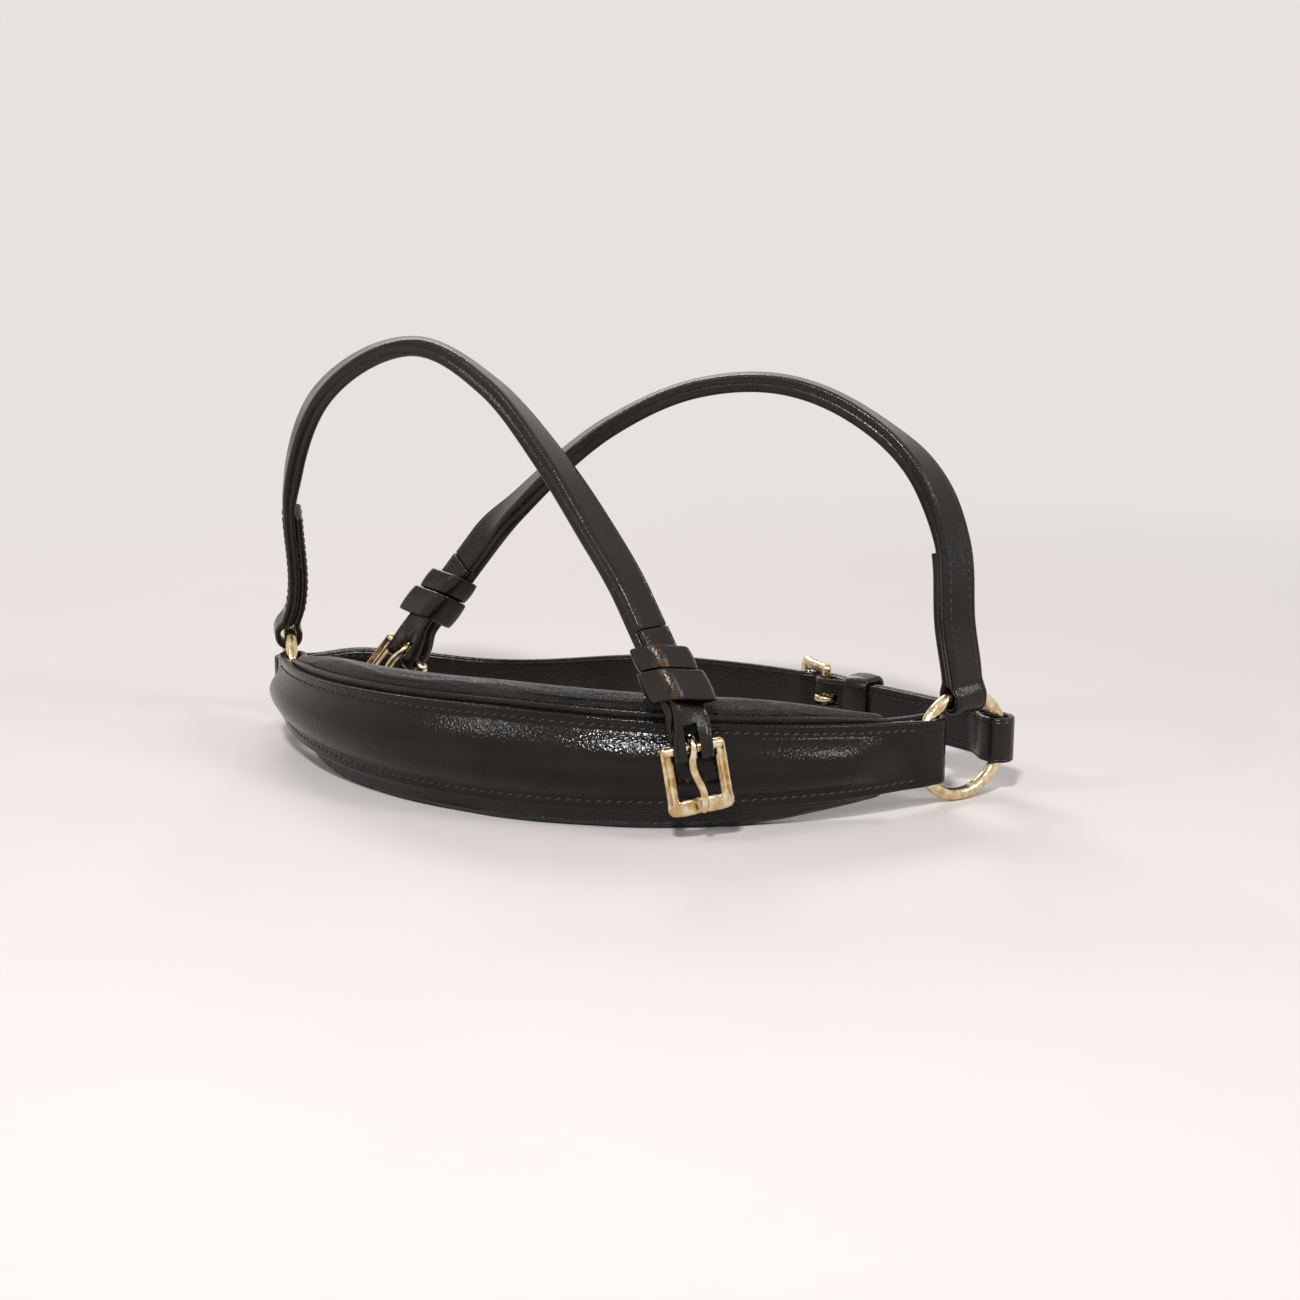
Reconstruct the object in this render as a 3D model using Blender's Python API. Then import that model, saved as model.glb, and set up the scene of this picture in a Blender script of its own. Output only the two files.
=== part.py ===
# Padded noseband assembly of a hanoverian bridle: nose piece, two rings, two cheek straps and a chin strap.
# Lengths are metres. X runs from ring to ring, +Y points to the chin strap, +Z is up, the floor is z = 0.
import math

import bmesh
import bpy
from mathutils import Matrix, Vector

# Shared fits
GAP = 0.0003
WIRE_FIT = 0.0003

# Nose piece, measured on an arc that passes through both ring wires
NOSE_RADIUS = 0.148
NOSE_ANGLE = math.radians(58.0)
NOSE_TAPER_POWER = 1.45
NOSE_END_HALF = 0.0115
NOSE_MID_HALF = 0.0165
NOSE_RISE = 0.004
BACKING_THICKNESS = 0.002
BACKING_MARGIN = 0.0022
BACKING_SETBACK = 0.014
FRONT_THICKNESS = 0.003
CROWN_RISE = 0.005
CROWN_MARGIN = 0.0065
CROWN_END_MARGIN = 0.0045
CROWN_LEFT_FADE = 0.010
CROWN_RIGHT_FADE = 0.032
CROWN_RIGHT_SETBACK = 0.006
CORE_WIDTH_SHARE = 0.70
CORE_LEFT_SETBACK = 0.016
CORE_RIGHT_SETBACK = 0.032
FRONT_LAP = 0.0125
LINING_PROUD = 0.0075
LINING_END_PROUD = 0.0015
LINING_DEPTH = 0.0077
LINING_SKIN = 0.001
LINING_SETBACK = 0.0145
LINING_FADE = 0.030
REST_CUT = 0.0005

# Rings
RING_RADIUS = 0.01775
WIRE_RADIUS = 0.00225
RING_PLANE = math.radians(54.0)
RING_SEGMENTS = 32
WIRE_SEGMENTS = 10

# Cheek straps
CHEEK_WIDTH = 0.013
CHEEK_THICKNESS = 0.0062
CHEEK_NEAR_THICKNESS = 0.0047
CHEEK_LOOP_THICKNESS = 0.0022
CHEEK_LAP_THICKNESS = 0.0024
CHEEK_LOOP_LAP = 0.052
CHEEK_WAIST = 0.0055
CHEEK_WAIST_START = 0.0005
CHEEK_CORNER = 0.0011
CHEEK_BAR_THICKNESS = 0.0025
CHEEK_BAR_LAP = 0.041
CHEEK_STRAIGHT_START = 0.052
CHEEK_STRAIGHT_END = 0.015
KNOT_STEPS = 24
CHEEK_SWING = math.radians(60.0)
FIXED_KEEPER_OFFSET = 0.015
FIXED_KEEPER_LENGTH = 0.011
RUNNER_KEEPER_LENGTH = 0.0085
KEEPER_WALL = 0.0018
KEEPER_HEADROOM = 0.0018
FIXED_KEEPER_WALL = 0.0024
FIXED_KEEPER_ROOM = 0.0005
TONGUE_SLOT = 0.005
TONGUE_SLOT_LENGTH = 0.009

# Buckles of the cheek straps
BUCKLE_INSIDE = 0.0140
BUCKLE_LEG = 0.0038
BUCKLE_LEG_DEPTH = 0.0032
BUCKLE_LENGTH = 0.0220
BUCKLE_END_BAR = 0.0055
BUCKLE_BAR_RADIUS = 0.0018
BUCKLE_CORNER = 0.0030
TONGUE_RADIUS = 0.0013
TONGUE_SWAY = 0.0011

# Chin strap
CHIN_WIDTH = 0.016
CHIN_THICKNESS = 0.002
CHIN_CORNER = 0.0006
CHIN_SAGITTA = 0.042
CHIN_DIP = 0.006
CHIN_BAR_AT = 0.082
CHIN_LOOP_LAP = 0.064
CHIN_BAR_LAP = 0.012
CHIN_BUCKLE_INSIDE = 0.0175
CHIN_BUCKLE_LENGTH = 0.0175
BILLET_TIP_AT = 0.0725
BILLET_LOOP_WIDTH = 0.012
BILLET_LOOP_DROP = 0.002
BILLET_LOOP_LAP = 0.045
CHIN_KEEPER_AT = 0.0665
CHIN_KEEPER_LENGTH = 0.010
CHIN_KEEPER_RISE = 0.0045
CHIN_BUCKLE_TILT = math.radians(28.0)
CHIN_TONGUE_ROUTE = (
    (0.0012, 0.0039),
    (0.0030, 0.0054),
    (0.0055, 0.0066),
    (0.0090, 0.0069),
    (0.0120, 0.0058),
    (0.0148, 0.0042),
    (0.0170, 0.0034),
)
BILLET_UNDER_END = 0.0026
BILLET_DRIFT = 0.050
BILLET_HOLE = 0.0036
BILLET_HOLE_START = -0.0030
BILLET_HOLE_LENGTH = 0.0080

# Route of the left cheek strap from its ring over the arch: points and the compass angle of its width there
LEFT_ROUTE = (
    (-0.1316, 0.0132, 0.0495, 123.0),
    (-0.1235, 0.0014, 0.0951, 125.0),
    (-0.1016, -0.0103, 0.1340, 129.0),
    (-0.0576, -0.0185, 0.1533, 122.0),
    (-0.0219, -0.0301, 0.1412, 109.0),
    (0.0048, -0.0408, 0.1201, 87.0),
    (0.0253, -0.0489, 0.0985, 68.0),
)
LEFT_HEAD_ANGLE = math.radians(23.8)
LEFT_HEAD_STANDOFF = 0.01084
LEFT_HEAD_HEIGHT = 0.0465
LEFT_STRAIGHT_WAY = Vector((0.530, -0.225, -0.817))
LEFT_BAR_ANGLE = math.radians(25.1)
LEFT_BAR_STANDOFF = 0.0135
LEFT_BAR_HEIGHT = 0.032
LEFT_BAR_WAY = Vector((0.15, 0.06, -0.985))
LEFT_END_ANGLES = (70.0, 31.0)
LEFT_KEEPER_SLANT = (0.20, 0.30)

# Route of the right cheek strap, which ends behind the nose piece
RIGHT_ROUTE = (
    (0.1343, 0.0074, 0.0643, 230.0),
    (0.1306, 0.0118, 0.0909, 234.0),
    (0.1175, 0.0138, 0.1164, 256.0),
    (0.1030, 0.0157, 0.1281, 278.0),
    (0.0702, 0.0167, 0.1413, 286.0),
    (0.0367, 0.0154, 0.1393, 287.0),
    (0.0055, 0.0106, 0.1252, 296.0),
    (-0.0272, 0.0000, 0.0958, 313.0),
)
RIGHT_STRAIGHT_HEAD = Vector((-0.0619, -0.0078, 0.0522))
RIGHT_STRAIGHT_WAY = Vector((-0.567, -0.186, -0.802))
RIGHT_BAR = Vector((-0.0690, -0.0100, 0.0395))
RIGHT_BAR_WAY = Vector((-0.56, -0.25, -0.79))
RIGHT_END_ANGLES = (332.0, 358.0)
RIGHT_KEEPER_SLANT = (-0.40, 0.0)


def material(name, colour, roughness, metallic):
    mat = bpy.data.materials.new(name)
    mat.use_nodes = True
    shader = mat.node_tree.nodes["Principled BSDF"]
    shader.inputs["Base Color"].default_value = (colour[0], colour[1], colour[2], 1.0)
    shader.inputs["Roughness"].default_value = roughness
    shader.inputs["Metallic"].default_value = metallic
    return mat


def ease(value):
    value = max(0.0, min(1.0, value))
    return value * value * (3.0 - 2.0 * value)


def mix(low, high, share):
    return low + (high - low) * share


def spread(start, end, step):
    count = max(1, math.ceil(abs(end - start) / step - 1e-6))
    return [start + (end - start) * i / count for i in range(count + 1)]


def add_mesh(name, points, faces, mat, smooth=True):
    mesh = bpy.data.meshes.new(name)
    mesh.from_pydata([tuple(p) for p in points], [], faces)
    work = bmesh.new()
    work.from_mesh(mesh)
    bmesh.ops.recalc_face_normals(work, faces=work.faces)
    work.to_mesh(mesh)
    work.free()
    mesh.materials.append(mat)
    if smooth:
        mesh.shade_smooth()
    obj = bpy.data.objects.new(name, mesh)
    PARTS.objects.link(obj)
    return obj


def loft(name, sections, mat, closed=False):
    count = len(sections[0])
    points = [p for section in sections for p in section]
    faces = []
    last = len(sections) if closed else len(sections) - 1
    for i in range(last):
        a = i * count
        b = ((i + 1) % len(sections)) * count
        for j in range(count):
            k = (j + 1) % count
            faces.append((a + j, a + k, b + k, b + j))
    if not closed:
        faces.append(tuple(range(count)))
        faces.append(tuple(range(len(points) - count, len(points))))
    return add_mesh(name, points, faces, mat)


def rounded_section(half_depth, half_width, corner, steps=2):
    # Outline in the plane of depth and width, corners rounded by the given radius
    outline = []
    for start, (sign_a, sign_w) in enumerate(((1, 1), (-1, 1), (-1, -1), (1, -1))):
        for i in range(steps + 1):
            turn = math.radians(90.0 * (start + i / steps))
            a = sign_a * (half_depth - corner) + corner * math.cos(turn)
            w = sign_w * (half_width - corner) + corner * math.sin(turn)
            outline.append((a, w))
    return outline


class Line:
    # A smooth centre line with a width direction; each place on it has a local frame
    def __init__(self, knots, ways, angles):
        self.at_u = [0.0]
        self.pos = []
        self.way = []
        self.width = []
        for i in range(len(knots) - 1):
            chord = (knots[i + 1] - knots[i]).length
            head = ways[i] * chord
            tail = ways[i + 1] * chord
            for j in range(KNOT_STEPS):
                t = j / KNOT_STEPS
                self.pos.append(self.curve(knots[i], head, knots[i + 1], tail, t))
        self.pos.append(knots[-1].copy())
        for i in range(1, len(self.pos)):
            self.at_u.append(self.at_u[-1] + (self.pos[i] - self.pos[i - 1]).length)
        self.length = self.at_u[-1]
        for i in range(len(self.pos)):
            low = max(0, i - 1)
            high = min(len(self.pos) - 1, i + 1)
            self.way.append((self.pos[high] - self.pos[low]).normalized())
        self.way[0] = ways[0].normalized()
        self.way[-1] = ways[-1].normalized()
        turns = self.width_turns(angles)
        for i in range(len(self.pos)):
            angle = math.radians(turns[i])
            side = Vector((math.cos(angle), math.sin(angle), 0.0))
            side -= self.way[i] * side.dot(self.way[i])
            self.width.append(side.normalized())

    @staticmethod
    def curve(start, head, end, tail, t):
        a = 2 * t ** 3 - 3 * t ** 2 + 1
        b = t ** 3 - 2 * t ** 2 + t
        c = -2 * t ** 3 + 3 * t ** 2
        d = t ** 3 - t ** 2
        return start * a + head * b + end * c + tail * d

    def width_turns(self, angles):
        # The width's compass angle at each point, smooth through the knots and steady along the straight end
        ends = [self.at_u[KNOT_STEPS * i] for i in range(len(angles))]
        rates = [0.0] * len(angles)
        for i in range(1, len(angles) - 3):
            rates[i] = (angles[i + 1] - angles[i - 1]) / (ends[i + 1] - ends[i - 1])
        turns = []
        for i in range(len(angles) - 1):
            span = ends[i + 1] - ends[i]
            for j in range(KNOT_STEPS):
                t = (self.at_u[KNOT_STEPS * i + j] - ends[i]) / span
                turns.append(self.curve(angles[i], rates[i] * span, angles[i + 1], rates[i + 1] * span, t))
        turns.append(angles[-1])
        return turns

    def frame(self, u):
        if u <= 0.0:
            return self.pos[0] + self.way[0] * u, self.way[0], self.width[0]
        if u >= self.length:
            return self.pos[-1] + self.way[-1] * (u - self.length), self.way[-1], self.width[-1]
        i = 1
        while self.at_u[i] < u:
            i += 1
        t = (u - self.at_u[i - 1]) / (self.at_u[i] - self.at_u[i - 1])
        place = self.pos[i - 1].lerp(self.pos[i], t)
        way = self.way[i - 1].lerp(self.way[i], t).normalized()
        side = self.width[i - 1].lerp(self.width[i], t)
        side -= way * side.dot(way)
        return place, way, side.normalized()

    def point(self, u, n, w):
        place, way, side = self.frame(u)
        return place + way.cross(side) * n + side * w

    def matrix(self, u):
        # Local x is the width, y the way towards the buckle, z the outer side
        place, way, side = self.frame(u)
        out = way.cross(side)
        return Matrix((
            (side.x, way.x, out.x, place.x),
            (side.y, way.y, out.y, place.y),
            (side.z, way.z, out.z, place.z),
            (0.0, 0.0, 0.0, 1.0),
        ))


class Arc:
    # A level arc; u runs from one wire to the other, n points away from the arc's centre, w is the height
    def __init__(self, radius, half_angle, centre, facing):
        self.radius = radius
        self.half = half_angle
        self.centre = centre
        self.facing = facing
        self.length = 2.0 * half_angle * radius

    def place(self, u, n, z):
        inside = max(0.0, min(self.length, u))
        angle = inside / self.radius - self.half
        beyond = u - inside
        out = Vector((math.sin(angle), self.facing * math.cos(angle), 0.0))
        along = Vector((math.cos(angle), -self.facing * math.sin(angle), 0.0))
        spot = self.centre + out * (self.radius + n) + along * beyond
        return Vector((spot.x, spot.y, z))


NOSE = Arc(NOSE_RADIUS, NOSE_ANGLE, Vector((0.0, NOSE_RADIUS * math.cos(NOSE_ANGLE), 0.0)), -1.0)
RING_HEIGHT = RING_RADIUS + WIRE_RADIUS
RING_WAY = Vector((math.cos(RING_PLANE), math.sin(RING_PLANE), 0.0))
NOSE_HALF_CHORD = NOSE_RADIUS * math.sin(NOSE_ANGLE)
RING_X = NOSE_HALF_CHORD + RING_WAY.x * RING_RADIUS
RING_Y = RING_WAY.y * RING_RADIUS
CHIN_HALF_CHORD = NOSE_HALF_CHORD + 2.0 * RING_WAY.x * RING_RADIUS
CHIN_ENDS_Y = 2.0 * RING_WAY.y * RING_RADIUS
CHIN_RADIUS = (CHIN_HALF_CHORD ** 2 + CHIN_SAGITTA ** 2) / (2.0 * CHIN_SAGITTA)
CHIN_ANGLE = math.asin(CHIN_HALF_CHORD / CHIN_RADIUS)
CHIN = Arc(CHIN_RADIUS, CHIN_ANGLE, Vector((0.0, CHIN_ENDS_Y + CHIN_SAGITTA - CHIN_RADIUS, 0.0)), 1.0)


def wire_drop(half_width):
    # How far a ring's wire falls back from its nearest point over half the width of a loop
    return RING_RADIUS - math.sqrt(RING_RADIUS ** 2 - half_width ** 2)


def bulge(u):
    return 1.0 - abs(2.0 * u / NOSE.length - 1.0) ** NOSE_TAPER_POWER if 0.0 < u < NOSE.length else 0.0


def nose_middle(u):
    return RING_HEIGHT + NOSE_RISE * bulge(u)


def front_half(u):
    return mix(NOSE_END_HALF, NOSE_MID_HALF, bulge(u))


def crown(u):
    left = ease(u / CROWN_LEFT_FADE)
    right = ease((NOSE.length - u - CROWN_RIGHT_SETBACK) / CROWN_RIGHT_FADE)
    return CROWN_RISE * min(left, right)


def crown_reach(u):
    return front_half(u) - mix(CROWN_END_MARGIN, CROWN_MARGIN, ease(u / (3.0 * CROWN_LEFT_FADE)))


def crown_at(u, z):
    reach = crown_reach(u)
    if abs(z) >= reach:
        return 0.0
    return crown(u) * math.cos(0.5 * math.pi * z / reach) ** 2


def nose_front_path():
    # Stations of the front leather: u, n and the direction that points out of the leather's face
    wrap = WIRE_RADIUS + WIRE_FIT + 0.5 * FRONT_THICKNESS
    drop = wire_drop(NOSE_END_HALF)
    out = 0.5 * BACKING_THICKNESS + GAP + 0.5 * FRONT_THICKNESS
    stations = []
    for u in spread(FRONT_LAP, -drop, 0.005):
        stations.append((u, -mix(wrap, out, ease(u / 0.012)), 0.0, -1.0))
    for i in range(1, 6):
        turn = math.pi * i / 6.0
        across, ahead = math.cos(turn), math.sin(turn)
        stations.append((-drop - wrap * ahead, -wrap * across, -ahead, -across))
    for u in spread(-drop, 0.5 * NOSE.length, 0.0068):
        stations.append((u, mix(wrap, out, ease(u / 0.012)), 0.0, 1.0))
    mirrored = [(NOSE.length - u, n, -du, dn) for u, n, du, dn in reversed(stations[:-1])]
    return stations + mirrored


def build_nose_front(mat):
    sections = []
    shares = (1.0, 0.62, 0.30, 0.0, -0.30, -0.62, -1.0)
    for u, n, du, dn in nose_front_path():
        half = front_half(u)
        corner = 0.0008
        reach = crown_reach(u)
        levels = [half - corner] + [reach * share for share in shares] + [corner - half]
        front = dn > 0.99 and 0.0 < u < NOSE.length
        section = []
        for z in levels:
            lift = crown_at(u, z) if front else 0.0
            thick = 0.5 * FRONT_THICKNESS
            section.append(NOSE.place(u + du * thick, n + dn * thick + lift, nose_middle(u) + z))
        edge = 0.5 * FRONT_THICKNESS - corner
        section.append(NOSE.place(u + du * edge, n + dn * edge, nose_middle(u) - half))
        section.append(NOSE.place(u - du * edge, n - dn * edge, nose_middle(u) - half))
        for z in reversed(levels):
            lift = crown_at(u, z) if front else 0.0
            thick = -0.5 * FRONT_THICKNESS
            section.append(NOSE.place(u + du * thick, n + dn * thick + lift, nose_middle(u) + z))
        section.append(NOSE.place(u - du * edge, n - dn * edge, nose_middle(u) + half))
        section.append(NOSE.place(u + du * edge, n + dn * edge, nose_middle(u) + half))
        sections.append(section)
    return loft("nose_front", sections, mat)


def build_nose_core(mat):
    sections = []
    base = 0.5 * BACKING_THICKNESS + GAP
    for u in spread(CORE_LEFT_SETBACK, NOSE.length - CORE_RIGHT_SETBACK, 0.009):
        reach = crown_reach(u) * CORE_WIDTH_SHARE
        section = []
        for share in (1.0, 0.5, 0.0, -0.5, -1.0):
            z = reach * share
            section.append(NOSE.place(u, base + crown_at(u, z) - GAP, nose_middle(u) + z))
        for share in (-1.0, 1.0):
            section.append(NOSE.place(u, base, nose_middle(u) + reach * share))
        sections.append(section)
    return loft("nose_crown_core", sections, mat)


def build_nose_backing(mat):
    sections = []
    for u in spread(BACKING_SETBACK, NOSE.length - BACKING_SETBACK, 0.008):
        half = front_half(u) + BACKING_MARGIN * ease(2.5 * bulge(u))
        outline = rounded_section(0.5 * BACKING_THICKNESS, half, 0.0005, 1)
        sections.append([NOSE.place(u, a, nose_middle(u) + z) for a, z in outline])
    return loft("nose_backing", sections, mat)


def lining_half(u):
    share = bulge(u)
    proud = mix(LINING_END_PROUD, LINING_PROUD, ease(1.6 * share))
    return front_half(u) + proud


def lining_height(u, z):
    # Height above the floor of a lining point; the lowest roll is cut flat where the piece rests
    rest = nose_middle(0.5 * NOSE.length) - lining_half(0.5 * NOSE.length)
    return max(0.0, nose_middle(u) + z - rest - REST_CUT)


def lining_depth(u):
    near = min(u, NOSE.length - u) - LINING_SETBACK
    return LINING_DEPTH * mix(0.40, 1.0, ease(near / LINING_FADE))


def lining_outline(u, inset):
    # Half outline from the backing over the roll to the inner face, drawn in by the given inset
    half = lining_half(u) - inset
    face = -0.5 * BACKING_THICKNESS - GAP
    depth = lining_depth(u) - inset
    roll = min(0.5 * depth, 0.004)
    return (
        (face, half - 0.70 * roll),
        (face - 0.10 * depth, half - 0.22 * roll),
        (face - 0.28 * depth, half),
        (face - 0.72 * depth, half),
        (face - 0.90 * depth, half - 0.22 * roll),
        (face - depth, half - 1.05 * roll),
        (face - depth, 0.45 * half),
    )


def build_nose_lining(skin_mat, foam_mat):
    skin = []
    foam = []
    places = spread(LINING_SETBACK, NOSE.length - LINING_SETBACK, 0.0075)
    for u in places:
        outer = lining_outline(u, 0.0)
        inner = lining_outline(u, LINING_SKIN)
        ring = [(n, z) for n, z in outer] + [(n, -z) for n, z in reversed(outer)]
        ring += [(n, -z) for n, z in inner] + [(n, z) for n, z in reversed(inner)]
        skin.append([NOSE.place(u, n, lining_height(u, z)) for n, z in ring])
    for u in [places[0] + LINING_SKIN] + places[1:-1] + [places[-1] - LINING_SKIN]:
        fill = lining_outline(u, LINING_SKIN + GAP)
        ring = [(n, z) for n, z in fill] + [(n, -z) for n, z in reversed(fill)]
        foam.append([NOSE.place(u, n, lining_height(u, z)) for n, z in ring])
    loft("nose_lining", skin, skin_mat)
    loft("nose_foam", foam, foam_mat)


def build_ring(name, side, mat):
    sections = []
    centre = Vector((side * RING_X, RING_Y, RING_HEIGHT))
    way = Vector((side * RING_WAY.x, RING_WAY.y, 0.0))
    normal = way.cross(Vector((0.0, 0.0, 1.0)))
    for i in range(RING_SEGMENTS):
        turn = 2.0 * math.pi * i / RING_SEGMENTS
        spoke = way * math.cos(turn) + Vector((0.0, 0.0, math.sin(turn)))
        section = []
        for j in range(WIRE_SEGMENTS):
            roll = 2.0 * math.pi * j / WIRE_SEGMENTS
            reach = RING_RADIUS + WIRE_RADIUS * math.cos(roll)
            section.append(centre + spoke * reach + normal * (WIRE_RADIUS * math.sin(roll)))
        sections.append(section)
    return loft(name, sections, mat, closed=True)


def nose_stand(angle, standoff, height):
    # A point that stands off the nose piece's arc by the given distance
    reach = NOSE_RADIUS + standoff
    return Vector((reach * math.sin(angle), NOSE.centre.y - reach * math.cos(angle), height))


def strip(name, place, stations, width, corner, mat, steps=2, loop_width=None):
    # A leather strip: each station is (u, n, thickness, direction of the face in u and n)
    sections = []
    for u, n, thickness, du, dn in stations:
        wide = width if loop_width is None else mix(loop_width, width, ease((u - 0.008) / 0.022))
        outline = rounded_section(0.5 * thickness, 0.5 * wide, corner, steps)
        sections.append([place(u + a * du, n + a * dn, w) for a, w in outline])
    return loft(name, sections, mat)


def wrap_start(stations, centre, reach, thickness, level=0.0):
    # Half turn of a strip about the wire at its start, from the inner side to the outer side
    for i in range(1, 6):
        turn = math.pi * i / 6.0
        stations.append((centre - reach * math.sin(turn), level - reach * math.cos(turn), thickness,
                         -math.sin(turn), -math.cos(turn)))


def wrap_end(stations, centre, reach, thickness, side):
    # Half turn of a strip about the bar at its end, from the given side to the other one
    for i in range(1, 6):
        turn = math.pi * i / 6.0
        stations.append((centre + reach * math.sin(turn), side * reach * math.cos(turn), thickness,
                         side * math.sin(turn), math.cos(turn)))


def cheek_stations(length):
    stack_low = -0.5 * CHEEK_THICKNESS
    drop = wire_drop(0.5 * CHEEK_WIDTH)
    sway = 0.5 * drop * math.sin(CHEEK_SWING)
    wrap = WIRE_RADIUS + WIRE_FIT + sway + 0.5 * CHEEK_LOOP_THICKNESS
    near_main = 0.5 * (CHEEK_LAP_THICKNESS + GAP)
    near_back = -0.5 * (CHEEK_NEAR_THICKNESS + GAP)
    bar = BUCKLE_BAR_RADIUS + WIRE_FIT + 0.5 * CHEEK_BAR_THICKNESS
    thin = CHEEK_THICKNESS - CHEEK_BAR_THICKNESS
    far_main = stack_low + 0.5 * thin
    far_back = stack_low + thin + GAP + 0.5 * CHEEK_BAR_THICKNESS
    stations = []
    for u in [CHEEK_LOOP_LAP, CHEEK_LOOP_LAP - 0.002] + spread(CHEEK_LOOP_LAP - 0.010, 0.009, 0.0095)[:-1]:
        stations.append((u, near_back, CHEEK_LAP_THICKNESS, 0.0, -1.0))
    for u in (0.009, 0.0062, 0.0048, 0.0035, 0.0021, 0.0006, -drop):
        share = ease((u - CHEEK_WAIST_START) / CHEEK_WAIST)
        thick = mix(CHEEK_LOOP_THICKNESS, CHEEK_LAP_THICKNESS, share)
        stations.append((u, mix(sway - wrap, near_back, share), thick, 0.0, -1.0))
    wrap_start(stations, -drop, wrap, CHEEK_LOOP_THICKNESS, sway)
    for u in (-drop, 0.0006, 0.0021, 0.0035, 0.0048, 0.0062, 0.009):
        share = ease((u - CHEEK_WAIST_START) / CHEEK_WAIST)
        thick = mix(CHEEK_LOOP_THICKNESS, CHEEK_NEAR_THICKNESS, share)
        stations.append((u, mix(sway + wrap, near_main, share), thick, 0.0, 1.0))
    step_at = length - CHEEK_BAR_LAP
    for u in spread(0.009, step_at - 2.0 * GAP, 0.0072)[1:]:
        share = ease((u - CHEEK_LOOP_LAP) / 0.06)
        fill = ease((u - CHEEK_LOOP_LAP) / 0.02)
        thick = mix(CHEEK_NEAR_THICKNESS, CHEEK_THICKNESS, fill)
        stations.append((u, mix(near_main, 0.0, share), thick, 0.0, 1.0))
    for u in (step_at - GAP, step_at + 0.006, length - 0.023, length - 0.017):
        stations.append((u, far_main, thin, 0.0, 1.0))
    for back in (0.013, 0.010, 0.007, 0.004, 0.0):
        share = ease((0.013 - back) / 0.011)
        thick = mix(thin, CHEEK_BAR_THICKNESS, share)
        stations.append((length - back, mix(far_main, -bar, share), thick, 0.0, 1.0))
    wrap_end(stations, length, bar, CHEEK_BAR_THICKNESS, -1.0)
    for back in (0.0, 0.004, 0.007, 0.010, 0.013):
        share = ease((0.013 - back) / 0.011)
        stations.append((length - back, mix(far_back, bar, share), CHEEK_BAR_THICKNESS, 0.0, -1.0))
    for back in (0.017, 0.023, CHEEK_BAR_LAP - 0.006, CHEEK_BAR_LAP - 0.0015):
        stations.append((length - back, far_back, CHEEK_BAR_THICKNESS, 0.0, -1.0))
    stations.append((step_at, far_back - 0.0004, CHEEK_BAR_THICKNESS - 0.0008, 0.0, -1.0))
    return stations


def keeper(name, matrix, low, high, half_width, wall, length, mat, slant=(0.0, 0.0)):
    # A closed leather loop about a strap; low and high are its inner faces, slant leans its ends in x and z
    corner = 0.0016
    centre = 0.5 * (low + high)
    half_n = 0.5 * (high - low) + 0.5 * wall
    half_w = half_width + 0.5 * wall
    outline = []
    for start, (sign_x, sign_z) in enumerate(((1, 1), (-1, 1), (-1, -1), (1, -1))):
        for i in range(4):
            turn = math.radians(90.0 * (start + i / 3.0))
            out = Vector((math.cos(turn), 0.0, math.sin(turn)))
            spot = Vector((sign_x * (half_w - corner), 0.0, centre + sign_z * (half_n - corner)))
            outline.append((spot + out * corner, out))
    sections = []
    for spot, out in outline:
        section = []
        for a, y in rounded_section(0.5 * wall, 0.5 * length, 0.0004, 1):
            place = spot + out * a
            lean = slant[0] * place.x + slant[1] * place.z
            section.append(matrix @ (place + Vector((0.0, y + lean, 0.0))))
        sections.append(section)
    return loft(name, sections, mat, closed=True)


def buckle(name, matrix, inside, length, mat):
    # A buckle frame in the plane of x and y; its round bar lies on the x axis
    leg_x = 0.5 * (inside + BUCKLE_LEG)
    end_y = length - 0.5 * BUCKLE_END_BAR
    bar_turn = 0.0016
    end_turn = BUCKLE_CORNER
    bar = (BUCKLE_BAR_RADIUS, BUCKLE_BAR_RADIUS)
    leg = (0.5 * BUCKLE_LEG, 0.5 * BUCKLE_LEG_DEPTH)
    end = (0.5 * BUCKLE_END_BAR, 0.5 * BUCKLE_LEG_DEPTH)
    right = [((0.0, 0.0), (0.0, -1.0), bar), ((leg_x - 0.0045, 0.0), (0.0, -1.0), bar)]
    right.append(((leg_x - 0.0024, 0.0), (0.0, -1.0), bar))
    for share in (0.5, 1.0):
        turn = math.radians(90.0 * share)
        out = (math.sin(turn), -math.cos(turn))
        spot = (leg_x - bar_turn + bar_turn * out[0], bar_turn + bar_turn * out[1])
        right.append((spot, out, leg if share == 1.0 else (0.0019, 0.0017)))
    right.append(((leg_x, 0.5 * end_y), (1.0, 0.0), leg))
    for share in (0.0, 0.34, 0.67, 1.0):
        turn = math.radians(90.0 * share)
        out = (math.cos(turn), math.sin(turn))
        spot = (leg_x - end_turn + end_turn * out[0], end_y - end_turn + end_turn * out[1])
        right.append((spot, out, (mix(leg[0], end[0], share), leg[1])))
    right.append(((0.0, end_y), (0.0, 1.0), end))
    stations = right + [((-x, y), (-a, b), size) for (x, y), (a, b), size in reversed(right[1:-1])]
    sections = []
    for (x, y), (a, b), (half_w, half_n) in stations:
        corner = 0.586 * min(half_w, half_n)
        section = []
        for d, z in rounded_section(half_w, half_n, corner, 1):
            section.append(matrix @ Vector((x + a * d, y + b * d, z)))
        sections.append(section)
    return loft(name, sections, mat, closed=True)


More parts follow.
